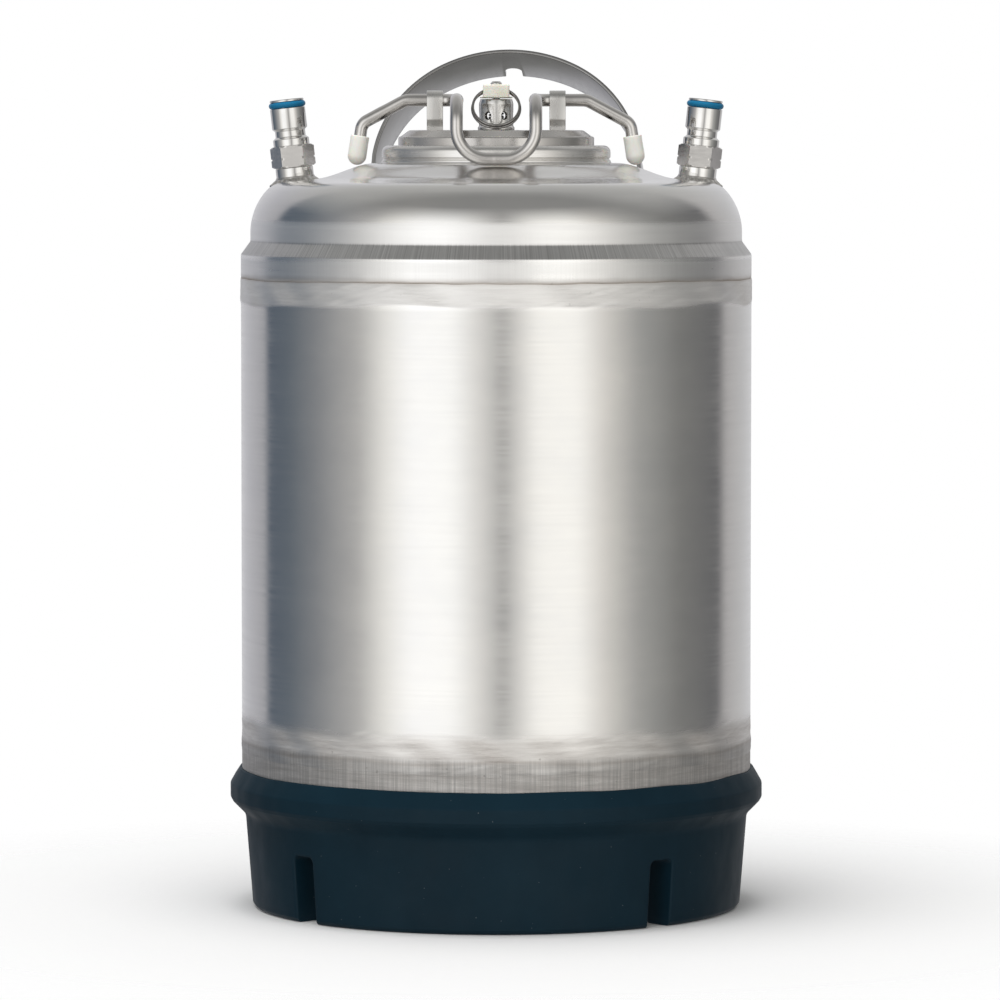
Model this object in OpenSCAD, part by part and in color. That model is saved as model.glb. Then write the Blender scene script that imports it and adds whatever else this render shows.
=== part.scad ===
// Small ball lock beverage keg: stainless vessel, rubber base boot, oval hatch lid held by a wire bail,
// relief valve with a pull ring, two quick-connect posts with dip tubes, and a flat strap handle.
// Units are millimetres. The origin is the centre of the base on the floor, +Z is up, -Y is the front.

/* [Vessel] */
// Outside radius of the cylindrical shell
shell_radius = 107.95; // [100:0.05:116]
// Thickness of the vessel's steel sheet
wall = 1.5; // [1:0.1:3]
// Height of the seam between shell and top head
upper_seam_z = 266; // [250:1:280]
// Height of the seam between shell and bottom head
lower_seam_z = 66; // [55:1:90]
// How far the weld beads stand out of the shell
bead_height = 0.25; // [0:0.05:0.6]
// Half the height of the rough band at each seam
bead_reach = 6; // [2:0.5:9]
// Height where the bottom head starts to curve in
knuckle_z = 54; // [45:1:60]
// Outside radius of the bottom head's knuckle
base_knuckle_radius = 26; // [18:1:34]
// Outside radius of the dished bottom
dish_radius = 216; // [180:1:260]

/* [Top head] */
// Height of the flat crown round the hatch
crown_z = 314.5; // [305:0.5:325]
// Radius of the flat crown
crown_radius = 51; // [48:1:60]
// Radius where the step down from the crown ends
step_radius = 76; // [68:1:82]
// Height at the end of the crown step
step_z = 307.9; // [300:0.1:312]
// Outside radius of the head just under its shoulder
neck_radius = 103.9; // [98:0.1:107]
// Height where the shoulder meets the straight neck
neck_top_z = 285.2; // [280:1:295]
// Radius of the shoulder curve
shoulder_radius = 26.5; // [18:0.5:34]
// Radius of the tight corner above the shoulder curve
corner_radius = 7; // [3:0.5:12]
// Angle above level where the two curves of the shoulder meet
shoulder_split = 47; // [25:1:60]
// Height of the top of the flare below the neck
flare_top_z = 283; // [276:1:286]
// Height of the bottom of the flare
flare_bottom_z = 275; // [268:1:278]

/* [Hatch] */
// Half length of the raised hatch rim, left to right
rim_half_length = 48.3; // [44:0.1:56]
// Half width of the raised hatch rim, front to back
rim_half_width = 38.8; // [34:0.1:44]
// Radius of the rim's outline at its two ends
rim_end_radius = 30; // [24:0.5:34]
// Height of the top of the rim
rim_top_z = 321.9; // [318:0.1:326]
// Radius of the rim's rounded outer edge
rim_edge_radius = 3.4; // [1:0.1:4]
// Radius of the rim's rounded inner edge
rim_inner_edge_radius = 1.4; // [0.5:0.1:2]
// Width of the rim's rolled section
rim_width = 5.3; // [4:0.1:8]
// Height of the shadow groove under the rolled edge
rim_groove_z = 316.2; // [315:0.1:318]
// Depth of the shadow groove
rim_groove_depth = 0.8; // [0.2:0.1:1.5]

/* [Lid] */
// Gap between the lid's wall and the rim's inner face
lid_gap = 1.6; // [0.5:0.1:3]
// Height of the lid's top face
lid_top_z = 328.4; // [325:0.1:332]
// Height where the lid's sloping edge starts
lid_edge_z = 325.7; // [322:0.1:327]
// Width of the small step at the foot of the slope
lid_step = 0.9; // [0.3:0.1:2]
// Width of the sloping edge seen from above
lid_slope = 4.4; // [2:0.1:8]
// Thickness of the lid
lid_thickness = 1.8; // [1.2:0.1:3]
// How far the lid's flange reaches past the rim's outline
flange_reach = 1.7; // [0:0.1:4]
// Height of the underside of the lid's flange
flange_z = 304.9; // [300:0.1:308]
// Section diameter of the lid gasket
gasket_diameter = 6.2; // [4:0.1:7]
// Gap left between the gasket and the head
gasket_gap = 0.1; // [0.05:0.05:0.3]
// Radius of the threaded boss under the lid
boss_radius = 8.5; // [7:0.5:12]
// Height of the underside of the boss
boss_z = 320; // [316:0.5:324]

/* [Bail clips] */
// Distance of each clip from the middle
clip_x = 25.9; // [20:0.1:32]
// Width of each clip
clip_width = 6.8; // [5:0.1:10]
// Thickness of the clip strap
clip_thickness = 1.3; // [0.8:0.1:2]
// Running clearance round the bail rod
clip_clearance = 0.1; // [0.05:0.01:0.2]
// Height where the clip starts to tuck in
clip_waist_z = 333; // [331:0.5:337]
// How far the clip's lower part tucks in
clip_tuck = 1.7; // [0.5:0.1:2.4]
// Height of the clip's foot
clip_foot_height = 1.2; // [0.8:0.1:2]
// How far each foot tab reaches from the middle
clip_foot_reach = 6; // [4:0.1:8]

/* [Bail] */
// Radius of the bail rod
rod_radius = 2.7; // [2:0.05:4]
// Height of the bail's pivot axis
pivot_z = 341; // [336:0.1:346]
// Half distance between the legs of the U
leg_x = 16.4; // [12:0.1:22]
// Radius of the bends beside the clips
elbow_radius = 6; // [4:0.1:9]
// Distance of the U in front of the pivot
u_reach = 58; // [50:0.5:64]
// Radius of the bend where the legs turn down
drop_radius = 13.3; // [8:0.1:16]
// Radius of the U's two corners
u_corner_radius = 10.6; // [7:0.1:14]
// Height of the middle of the rod at the U's foot
u_bottom_z = 316.5; // [314:0.1:322]
// Where the straight middle of each wing ends
wing_x = 36.5; // [32:0.1:42]
// Radius of the first wing bend
wing_bend_radius = 7; // [4:0.1:12]
// Slope of each wing below level
wing_slope = 28; // [15:1:45]
// Length of each sloping stretch
wing_length = 16.6; // [8:0.1:20]
// Radius of the second wing bend
foot_bend_radius = 5; // [3.5:0.1:9]
// Angle of the feet below level
foot_angle = 81; // [70:1:90]
// Straight length of rod at each foot
foot_length = 9.7; // [5:0.1:16]

/* [Foot caps] */
// Outside radius of a foot cap
cap_radius = 4; // [3.4:0.1:6]
// Length of a cap's straight part
cap_length = 8.5; // [6:0.1:14]
// Depth of the socket that holds the rod
cap_socket = 7; // [4:0.1:10]

/* [Relief valve] */
// Outside radius of the valve body
valve_radius = 7.3; // [6:0.1:10]
// Radius of the rounded flange at the foot of the valve body
valve_flange_radius = 7.8; // [7:0.1:11]
// Height of the flange
valve_flange_height = 1.5; // [0.8:0.1:3]
// Radius of the valve body at its top
valve_top_radius = 6.7; // [5:0.1:8]
// Height of the top of the valve body
valve_top_z = 341.5; // [338:0.1:345]
// Radius of the spring chamber
chamber_radius = 5.2; // [4:0.1:6]
// Height of the seat inside the valve
seat_z = 330.4; // [329:0.1:334]
// Thickness of the chamber's roof
roof_thickness = 1.4; // [0.8:0.1:2]
// Radius of the threaded shank
shank_radius = 5; // [4:0.1:6]
// Height of the lower end of the shank
shank_z = 317; // [310:0.5:322]
// Radius of the gas passage
passage_radius = 2.6; // [1.5:0.1:3.5]
// Radius of each vent hole
vent_radius = 1.6; // [1:0.1:2.5]
// Height of the vent holes
vent_z = 334.5; // [332:0.1:338]
// Number of vent holes
vent_count = 6; // [4:1:8]

/* [Stem and knob] */
// Radius of the stem
stem_radius = 1.6; // [1:0.1:2.5]
// Clearance between the stem and the roof
stem_clearance = 0.1; // [0.05:0.01:0.3]
// Radius of the disc that carries the seal
seal_radius = 4.4; // [3:0.1:5]
// Thickness of the seal
seal_thickness = 1.6; // [1:0.1:3]
// Thickness of the disc above the seal
disc_thickness = 1.2; // [0.8:0.1:2]
// Gap left between seal and seat
seal_gap = 0.1; // [0.05:0.05:0.2]
// Height of the underside of the knob
knob_z = 341.8; // [339:0.1:346]
// Radius of the knob's flange
knob_flange_radius = 6.9; // [5:0.1:9]
// Height of the knob's flange
knob_flange_height = 0.7; // [0.5:0.1:2]
// Width of the knob's block
knob_width = 11.2; // [9:0.1:14]
// Reach of the knob's block in front of the stem
knob_front = 8.3; // [7:0.1:10]
// Reach of the knob's block behind the stem
knob_back = 5.5; // [4:0.1:7]
// Height of the top of the knob
knob_top_z = 347.6; // [345:0.1:352]
// Height of the hole that the ring hangs in
ring_hole_z = 345; // [344:0.1:346]
// Distance of that hole in front of the stem
ring_hole_y = 5.2; // [4.5:0.1:6.5]
// Radius of the ring hole
ring_hole_radius = 2.1; // [1.8:0.05:2.4]
// Radius of the domed head on top of the stem
rivet_radius = 2.4; // [1.5:0.1:4]
// Height of the domed head
rivet_height = 1.4; // [0.8:0.1:3]

/* [Pull ring] */
// Radius of the middle line of the ring
ring_radius = 10; // [8:0.1:14]
// Diameter of the ring wire
ring_wire = 1.1; // [0.8:0.1:2]
// How far the ring's wire sits off the middle of its hole
ring_play = 0.9; // [0:0.1:1.2]
// Angle that the ring leans forward
ring_lean = 37; // [20:1:60]

/* [Posts] */
// Distance of each post's foot from the middle
post_x = 84.9; // [75:0.1:92]
// Height of the point that the post axis passes through
post_z = 308; // [300:0.5:315]
// Outward tilt of each post
post_tilt = 6.3; // [0:0.1:12]
// Radius of the coupling barrel
barrel_radius = 7.45; // [7:0.05:8]
// Position of the foot of the barrel along the post
barrel_start = 21.3; // [18:0.1:24]
// Position of the top of the barrel along the post
barrel_end = 29.9; // [27:0.1:32]
// Position of the lip under the post's top disc
lip_start = 32.6; // [31:0.1:34]
// Position of the post's top
post_end = 33.6; // [32:0.1:36]
// Radius of the top disc
lip_radius = 7.2; // [6.5:0.1:7.5]
// Radius of the floor of the O-ring groove
groove_floor = 5; // [4:0.1:6.5]
// Radius of the neck under the barrel
post_neck_radius = 6.4; // [5.5:0.1:7]
// Length of each slope beside the neck
post_neck_slope = 1; // [0.3:0.1:2]
// Position of the foot of the neck
post_neck_start = 16.8; // [14:0.1:19]
// Radius of the flange above the hex
post_flange_radius = 7.65; // [7.5:0.05:8]
// Position of the foot of the flange
post_flange_start = 13.9; // [11:0.1:16]
// Width of the hex across its flats
hex_flats = 16.1; // [14:0.1:19]
// Position of the foot of the hex
hex_start = 5; // [3:0.1:8]
// Position of the notches cut in the hex corners
hex_notch_position = 8.6; // [6:0.1:12]
// Size of the notches cut in the hex corners
hex_notch_size = 0.5; // [0.3:0.1:1.5]
// Radius of the collar under the hex
collar_radius = 7.95; // [7:0.05:8.5]
// Position of the foot of the post
post_start = 0.7; // [0:0.1:2]
// Section radius of the post's O-ring
post_ring_section = 1.3; // [1:0.05:1.6]

/* [Post insides] */
// Radius of the bore that the poppet moves in
poppet_bore = 4.4; // [3.5:0.1:5]
// Position of the foot of the poppet's sloping seat
seat_start = 28.5; // [26:0.1:30]
// Position of the top of the sloping seat
seat_end = 30.2; // [29:0.1:31]
// Radius of the hole at the top of the post
mouth_radius = 2.9; // [2.3:0.1:3.6]
// Radius of the poppet's pin
poppet_pin_radius = 2; // [1.2:0.1:2.6]
// Position of the top of the poppet's pin
poppet_end = 33.2; // [31:0.1:34]
// Position of the underside of the poppet's disc
poppet_disc_start = 27.2; // [25:0.1:28]
// Thickness of the poppet's disc
poppet_disc_thickness = 1; // [0.6:0.1:2]
// Radius of the poppet's disc
poppet_disc_radius = 4.05; // [3:0.05:4.2]
// Radius of the poppet's tail
poppet_tail_radius = 1.3; // [0.8:0.1:2]
// Position of the end of the poppet's tail
poppet_tail_start = 18; // [15:0.5:22]
// Position of the middle of the poppet's seal
poppet_seal_position = 29; // [28:0.1:30]
// Distance of the seal's section from the axis
poppet_seal_radius = 2.75; // [2.2:0.05:3.2]
// Section radius of the poppet's seal
poppet_seal_section = 0.75; // [0.5:0.05:1]
// Middle radius of the poppet spring
poppet_spring_radius = 3.7; // [3:0.05:4]
// Wire radius of the poppet spring
poppet_spring_wire = 0.3; // [0.2:0.05:0.5]
// Number of turns drawn in each spring
spring_turns = 6; // [4:1:10]

/* [Ports and dip tubes] */
// Outside radius of the port's thread
port_radius = 7; // [6:0.05:7.5]
// Inside radius of the port
port_bore = 4.3; // [4:0.1:6]
// Position of the port's top
port_end = 10.3; // [8:0.1:12]
// Position of the port's lower end inside the vessel
port_start = -6; // [-12:0.5:-4]
// Radius of the port's welded foot
port_foot_radius = 9; // [8:0.1:12]
// Position of the bottom of the welded foot
port_foot_start = -3.2; // [-5:0.1:-1]
// Radius inside the lower part of the post
post_socket_radius = 7.05; // [6.5:0.05:7.5]
// Position of the shoulder inside the post
post_socket_end = 12.8; // [11:0.1:14]
// Outside radius of the dip tubes
tube_radius = 3.95; // [3:0.05:4.2]
// Inside radius of the dip tubes
tube_bore = 3.3; // [2.5:0.05:3.6]
// Radius of the dip tube's flange
tube_flange_radius = 6.6; // [5.5:0.1:7]
// Position of the underside of the dip tube's flange
tube_flange_start = 11.6; // [10.5:0.1:12.5]
// Length of the gas dip tube below the port
gas_tube_length = 30; // [20:1:60]
// Length of the liquid dip tube below the port
liquid_tube_length = 284; // [200:1:290]
// Distance of the tube seal's section from the axis
tube_ring_radius = 5.2; // [4.5:0.1:6]
// Section radius of the tube seal
tube_ring_section = 0.65; // [0.4:0.05:1]

/* [Rubber base] */
// Outside radius of the base on the floor
boot_foot_radius = 103.5; // [95:0.5:112]
// Outside radius of the base under its bulge
boot_waist_radius = 106.5; // [98:0.5:112]
// Height of the waist under the bulge
boot_waist_z = 39.5; // [30:0.5:50]
// Outside radius of the bulge
boot_bulge_radius = 113; // [109:0.5:120]
// Height of the bottom of the bulge's straight part
boot_bulge_bottom_z = 46; // [40:0.5:52]
// Height of the top of the bulge's straight part
boot_bulge_top_z = 52.5; // [48:0.5:58]
// Height of the base's top lip
boot_top_z = 59.2; // [54:0.1:65]
// Gap between the base and the vessel
boot_gap = 0.1; // [0:0.05:0.5]
// Thickness of the top lip
boot_lip = 0.6; // [0.3:0.1:2]
// Radius inside the base on the floor
boot_inside_radius = 89.5; // [80:0.5:96]
// Radius where the base meets the dished bottom
boot_seat_radius = 88; // [80:0.5:92]
// Chamfer of the base's lower outer edge
boot_edge = 1.2; // [0.4:0.1:4]
// Width of each slot in the base
slot_width = 11.75; // [6:0.25:16]
// Height of each slot
slot_height = 28; // [12:0.5:30]
// Radius of each slot's upper corners
slot_corner = 2.5; // [1:0.5:4]
// Angle of the left front slot from the front
slot_left_angle = -49.5; // [-80:0.5:-20]
// Angle of the right front slot from the front
slot_right_angle = 40.5; // [20:0.5:80]

/* [Strap handle] */
// Thickness of the strap
strap_thickness = 1.7; // [1.2:0.1:3]
// Width of the strap
strap_width = 29.5; // [22:0.5:40]
// Half the distance across the outside of the legs
strap_half_span = 58.4; // [50:0.1:66]
// Radius of the top of the arch
arch_radius = 64; // [58:0.5:90]
// Radius of the two arch shoulders
arch_shoulder_radius = 54; // [15:0.5:57]
// Length from the foot line to the top of the arch
arch_rise = 60; // [40:0.5:80]
// Backward lean of the arch
arch_lean = 19.7; // [0:0.1:35]
// Height of the top of the strap's front edge
arch_top_z = 363.3; // [350:0.1:375]
// Distance of that edge behind the middle
arch_top_y = 62; // [50:0.5:75]
// Turn of the handle about the keg's axis
handle_turn = -5.2; // [-10:0.1:10]
// Width of the notch in the rear edge
notch_width = 7.3; // [4:0.1:12]
// Depth of the notch
notch_depth = 10; // [5:0.1:16]
// Radius of the notch's inner corners
notch_corner = 3.6; // [0.5:0.1:3.6]

/* [Hidden] */
$fn = 96;
curve_steps = 8;
over = 1;
long_cut = 60;
lap_angle = 0.25;
lap_step = 0.01;
lap_length = 0.2;
full_turn = 360;
half_turn = 180;
right_angle = 90;
hex_sides = 6;
dish_knuckle_x = shell_radius - base_knuckle_radius;
dish_centre_z = knuckle_z + sqrt(pow(dish_radius - base_knuckle_radius, 2) - pow(dish_knuckle_x, 2));
dish_angle = atan2(dish_centre_z - knuckle_z, dish_knuckle_x);
shoulder_x = neck_radius - shoulder_radius;
corner_x = shoulder_x + (shoulder_radius - corner_radius) * cos(shoulder_split);
corner_z = neck_top_z + (shoulder_radius - corner_radius) * sin(shoulder_split);
end_x = rim_half_length - rim_end_radius;
end_gain = rim_half_width - rim_end_radius;
side_y = (pow(end_x, 2) - pow(end_gain, 2)) / (2 * end_gain);
side_radius = rim_half_width + side_y;
end_angle = atan2(side_y, end_x);
fill_length = 54;
fill_width = 34;
ring_reach = 22;
crown_inside_z = crown_z - wall;
rim_back = -rim_width;
lid_wall_back = rim_back - lid_gap;
slope_start = lid_wall_back - lid_step;
slope_end = slope_start - lid_slope;
lid_inside_z = lid_top_z - lid_thickness;
flange_top_z = crown_inside_z - gasket_gap - gasket_diameter;
gasket_line = lid_wall_back + gasket_diameter / 2 + gasket_gap;
clip_inside = rod_radius + clip_clearance;
clip_outside = clip_inside + clip_thickness;
clip_foot_z = lid_top_z + clip_foot_height;
drop_start = u_reach - drop_radius;
u_straight = pivot_z - drop_radius - u_bottom_z - u_corner_radius;
foot_turn = foot_angle - wing_slope;
arch_angle = asin((strap_half_span - arch_shoulder_radius) / (arch_radius - arch_shoulder_radius));
arch_centre = arch_rise - arch_radius;
arch_shoulder_x = (arch_radius - arch_shoulder_radius) * sin(arch_angle);
arch_shoulder_y = arch_centre + (arch_radius - arch_shoulder_radius) * cos(arch_angle);
leg_extra = 6;
stem_top_z = knob_top_z;
stem_foot_z = seat_z + seal_gap + seal_thickness;
spring_top = poppet_disc_start - poppet_spring_wire;
spring_foot = post_socket_end + poppet_spring_wire;
relief_spring_wire = 0.4;
relief_spring_radius = 2.9;
relief_spring_foot = stem_foot_z + disc_thickness + relief_spring_wire;
relief_spring_top = valve_top_z - roof_thickness - relief_spring_wire;
steel = [0.78, 0.78, 0.79];
bright = [0.86, 0.86, 0.87];
rubber = [0.09, 0.1, 0.13];
blue = [0.1, 0.35, 0.75];
ivory = [0.93, 0.92, 0.87];

// Points on an arc, from one angle to another.
function arc(x, z, r, a, b, n = curve_steps) =
    [for (i = [0:n]) [x + r * cos(a + (b - a) * i / n), z + r * sin(a + (b - a) * i / n)]];

// Points on a smooth step between two points, level at both ends.
function step_across(x1, z1, x2, z2, n = curve_steps) =
    [for (i = [0:n]) [x1 + (x2 - x1) * i / n, z1 + (z2 - z1) * (1 - cos(half_turn * i / n)) / 2]];

// Points on a smooth step that is upright at both ends.
function step_down(x1, z1, x2, z2, n = curve_steps) =
    [for (i = [0:n]) [x1 + (x2 - x1) * (1 - cos(half_turn * i / n)) / 2, z1 + (z2 - z1) * i / n]];

function reversed(list) = [for (i = [len(list) - 1:-1:0]) list[i]];

// Outline of the top head, moved inwards by a depth.
function head_line(depth) = concat(
    [[0, crown_z - depth]],
    step_across(crown_radius, crown_z - depth, step_radius, step_z - depth),
    arc(corner_x, corner_z, corner_radius - depth, right_angle, shoulder_split),
    arc(shoulder_x, neck_top_z, shoulder_radius - depth, shoulder_split - over, 0),
    step_down(neck_radius - depth, flare_top_z, shell_radius - depth, flare_bottom_z),
    [[shell_radius - depth, upper_seam_z]]
);

// Outline of the bottom head, moved inwards by a depth.
function dish_line(depth) = concat(
    [[shell_radius - depth, lower_seam_z]],
    arc(dish_knuckle_x, knuckle_z, base_knuckle_radius - depth, 0, -dish_angle),
    arc(0, dish_centre_z, dish_radius - depth, -dish_angle - over, -right_angle)
);

// A profile swept round the hatch's oval. The profile's zero lies on the rim's outline. The two long
// sides lap into the ends and sit a hair lower, or take a second child as their own section.
module around_oval() {
    for (side = [0, half_turn]) {
        rotate([0, 0, side])
            translate([end_x, 0, 0])
                rotate([0, 0, -end_angle])
                    rotate_extrude(angle = 2 * end_angle)
                        translate([rim_end_radius, 0])
                            children(0);
        rotate([0, 0, side])
            translate([0, -side_y, 0])
                rotate([0, 0, end_angle - lap_angle])
                    rotate_extrude(angle = half_turn - 2 * end_angle + 2 * lap_angle)
                        translate([side_radius, 0])
                            if ($children > 1) {
                                children(1);
                            } else {
                                translate([-lap_step, -lap_step])
                                    children(0);
                            }
    }
}

// A solid with the hatch's oval outline, moved by an offset, between two heights.
module oval_block(offset_by, low, high) {
    around_oval()
        polygon([[offset_by - ring_reach, low], [offset_by, low], [offset_by, high], [offset_by - ring_reach, high]]);
    translate([-fill_length / 2, -fill_width / 2, low - lap_step])
        cube([fill_length, fill_width, high - low + 3 * lap_step]);
}

// Puts a child on a post's axis. side is -1 for gas and 1 for liquid.
module on_post(side) {
    translate([side * post_x, 0, post_z])
        rotate([0, side * post_tilt, 0])
            children();
}

module body_shell() {
    color(steel)
        rotate_extrude()
            polygon([
                [shell_radius - wall, lower_seam_z],
                [shell_radius, lower_seam_z],
                [shell_radius + bead_height, lower_seam_z + bead_reach / 3],
                [shell_radius + bead_height, lower_seam_z + bead_reach / 2],
                [shell_radius, lower_seam_z + bead_reach],
                [shell_radius, upper_seam_z - 2 * bead_reach],
                [shell_radius + bead_height, upper_seam_z - bead_reach],
                [shell_radius + bead_height, upper_seam_z - bead_reach / 3],
                [shell_radius, upper_seam_z],
                [shell_radius - wall, upper_seam_z]
            ]);
}

module top_head() {
    color(bright) {
        difference() {
            rotate_extrude()
                polygon(concat(head_line(0), reversed(head_line(wall))));
            oval_block(-rim_width / 2, crown_inside_z - over, crown_z + over);
            for (side = [-1, 1])
                on_post(side)
                    translate([0, 0, -long_cut / 2])
                        cylinder(r = port_radius, h = long_cut);
        }
        around_oval()
            polygon(concat(
                [[rim_back, crown_inside_z], [0, crown_inside_z], [0, rim_groove_z - rim_groove_depth]],
                [[-rim_groove_depth, rim_groove_z], [0, rim_groove_z + rim_groove_depth]],
                arc(-rim_edge_radius, rim_top_z - rim_edge_radius, rim_edge_radius, 0, right_angle),
                arc(rim_back + rim_inner_edge_radius, rim_top_z - rim_inner_edge_radius,
                    rim_inner_edge_radius, right_angle, half_turn)
            ));
    }
}

module bottom_head() {
    color(steel)
        rotate_extrude()
            polygon(concat(dish_line(0), reversed(dish_line(wall))));
}

module rubber_base() {
    color(rubber)
        difference() {
            rotate_extrude()
                polygon(concat(
                    [[boot_inside_radius, 0], [boot_foot_radius - boot_edge, 0], [boot_foot_radius, boot_edge]],
                    [[boot_waist_radius, boot_waist_z], [boot_bulge_radius - over, boot_bulge_bottom_z - over]],
                    [[boot_bulge_radius, boot_bulge_bottom_z], [boot_bulge_radius, boot_bulge_top_z]],
                    [[boot_bulge_radius - over, boot_bulge_top_z + over]],
                    [[shell_radius + boot_gap + boot_lip, boot_top_z], [shell_radius + boot_gap, boot_top_z]],
                    arc(dish_knuckle_x, knuckle_z, base_knuckle_radius + boot_gap, 0, -dish_angle),
                    [[boot_seat_radius, dish_centre_z
                        - sqrt(pow(dish_radius + boot_gap, 2) - pow(boot_seat_radius, 2))]]
                ));
            for (angle = [slot_left_angle, slot_right_angle, slot_left_angle + half_turn, slot_right_angle + half_turn])
                rotate([0, 0, angle - right_angle])
                    boot_slot();
        }
}

// One slot, cut from the middle outwards along +X.
module boot_slot() {
    translate([boot_seat_radius - long_cut / 2, 0, 0]) {
        for (side = [-1, 1])
            translate([0, side * (slot_width / 2 - slot_corner), slot_height - slot_corner])
                rotate([0, right_angle, 0])
                    cylinder(r = slot_corner, h = long_cut);
        translate([0, -slot_width / 2, -over])
            cube([long_cut, slot_width, slot_height - slot_corner + over]);
        translate([0, slot_corner - slot_width / 2, -over])
            cube([long_cut, slot_width - 2 * slot_corner, slot_height + over]);
    }
}

// One curved stretch of the strap, from one angle to another. inset makes it a hair slimmer.
module strap_bend(radius, from, to, inset) {
    rotate([0, 0, from])
        rotate_extrude(angle = to - from)
            translate([radius - strap_thickness + inset, -strap_width + inset])
                square([strap_thickness - 2 * inset, strap_width - 2 * inset]);
}

// The whole strap, upright, with its front edge at zero and its foot line at zero.
module strap_arch() {
    translate([0, arch_centre, 0])
        strap_bend(arch_radius, right_angle - arch_angle, right_angle + arch_angle, 0);
    for (side = [0, 1])
        mirror([side, 0, 0]) {
            translate([arch_shoulder_x, arch_shoulder_y, 0])
                strap_bend(arch_shoulder_radius, -lap_angle, right_angle - arch_angle + lap_angle, lap_step);
            translate([strap_half_span - strap_thickness, -leg_extra, -strap_width])
                cube([strap_thickness, arch_shoulder_y + leg_extra, strap_width]);
        }
}

module strap_handle() {
    color(steel)
        difference() {
            rotate([0, 0, handle_turn])
                translate([0, arch_top_y - arch_rise * sin(arch_lean), arch_top_z - arch_rise * cos(arch_lean)])
                    rotate([right_angle - arch_lean, 0, 0])
                        difference() {
                            strap_arch();
                            strap_notch();
                        }
            rotate_extrude()
                polygon(concat(head_line(0), [[0, upper_seam_z]]));
        }
}

// The notch in the rear edge, at the top of the arch.
module strap_notch() {
    inner = -strap_width + notch_depth;
    for (side = [-1, 1])
        translate([side * (notch_width / 2 - notch_corner), arch_rise + over, inner - notch_corner])
            rotate([right_angle, 0, 0])
                cylinder(r = notch_corner, h = long_cut / 4);
    translate([-notch_width / 2, arch_rise - long_cut / 4, -strap_width - over])
        cube([notch_width, long_cut / 4 + over, notch_depth - notch_corner + over]);
    translate([-notch_width / 2 + notch_corner, arch_rise - long_cut / 4, -strap_width])
        cube([notch_width - 2 * notch_corner, long_cut / 4 + over, notch_depth]);
}

module port(side) {
    color(steel)
        on_post(side)
            rotate_extrude()
                polygon([
                    [port_bore, port_start],
                    [port_radius, port_start],
                    [port_radius, port_foot_start],
                    [port_radius, 0],
                    [port_radius, port_end],
                    [port_bore, port_end]
                ]);
    color(steel)
        difference() {
            on_post(side)
                rotate_extrude()
                    polygon([
                        [port_radius - over / 2, port_foot_start],
                        [port_foot_radius + over, port_foot_start],
                        [port_foot_radius, post_start - over],
                        [collar_radius, post_start],
                        [port_radius - over / 2, post_start]
                    ]);
            rotate_extrude()
                polygon(concat(head_line(0), [[0, upper_seam_z]]));
            on_post(side)
                translate([0, 0, port_start - over])
                    cylinder(r = port_bore, h = port_end - port_start);
        }
}

module post(side) {
    color(bright)
        on_post(side)
            difference() {
                union() {
                    rotate_extrude()
                        polygon([
                            [0, post_start],
                            [collar_radius, post_start],
                            [collar_radius, hex_start + over],
                            [post_flange_radius, post_flange_start - over],
                            [post_flange_radius, post_neck_start],
                            [post_neck_radius, post_neck_start + post_neck_slope],
                            [post_neck_radius, barrel_start - post_neck_slope],
                            [barrel_radius, barrel_start],
                            [barrel_radius, barrel_end],
                            [groove_floor, barrel_end],
                            [groove_floor, lip_start],
                            [lip_radius, lip_start],
                            [lip_radius, post_end - over / 3],
                            [lip_radius - over / 3, post_end],
                            [0, post_end]
                        ]);
                    hex_band();
                }
                translate([0, 0, post_start - over])
                    cylinder(r = post_socket_radius, h = post_socket_end - post_start + over);
                translate([0, 0, post_start])
                    cylinder(r = poppet_bore, h = seat_start - post_start);
                translate([0, 0, seat_start])
                    cylinder(r1 = poppet_bore, r2 = mouth_radius, h = seat_end - seat_start);
                translate([0, 0, seat_end - over / 4])
                    cylinder(r = mouth_radius, h = post_end);
            }
}

// The spanner hex, with a small notch across each corner.
module hex_band() {
    hex_corner = hex_flats / sqrt(3);
    difference() {
        intersection() {
            translate([0, 0, hex_start])
                cylinder(r = hex_corner, h = post_flange_start - hex_start, $fn = hex_sides);
            rotate_extrude()
                polygon([
                    [0, hex_start],
                    [hex_corner - over, hex_start],
                    [hex_corner, hex_start + over / 2],
                    [hex_corner, post_flange_start - over / 2],
                    [hex_corner - over, post_flange_start],
                    [0, post_flange_start]
                ]);
        }
        rotate_extrude()
            polygon([
                [hex_corner - hex_notch_size, hex_notch_position],
                [hex_corner + over, hex_notch_position - hex_notch_size - over],
                [hex_corner + over, hex_notch_position + hex_notch_size + over]
            ]);
    }
}

module post_o_ring(side) {
    color(blue)
        on_post(side)
            rotate_extrude()
                translate([post_flange_radius - post_ring_section, (barrel_end + lip_start) / 2])
                    circle(r = post_ring_section);
}

module dip_tube(side, length) {
    color(steel)
        on_post(side)
            rotate_extrude()
                polygon([
                    [tube_bore, port_start - length],
                    [tube_radius, port_start - length],
                    [tube_radius, tube_flange_start],
                    [tube_flange_radius, tube_flange_start],
                    [tube_flange_radius, post_socket_end],
                    [tube_bore, post_socket_end]
                ]);
}

module dip_tube_o_ring(side) {
    color(rubber)
        on_post(side)
            rotate_extrude()
                translate([tube_ring_radius, (port_end + tube_flange_start) / 2])
                    circle(r = tube_ring_section);
}

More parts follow.
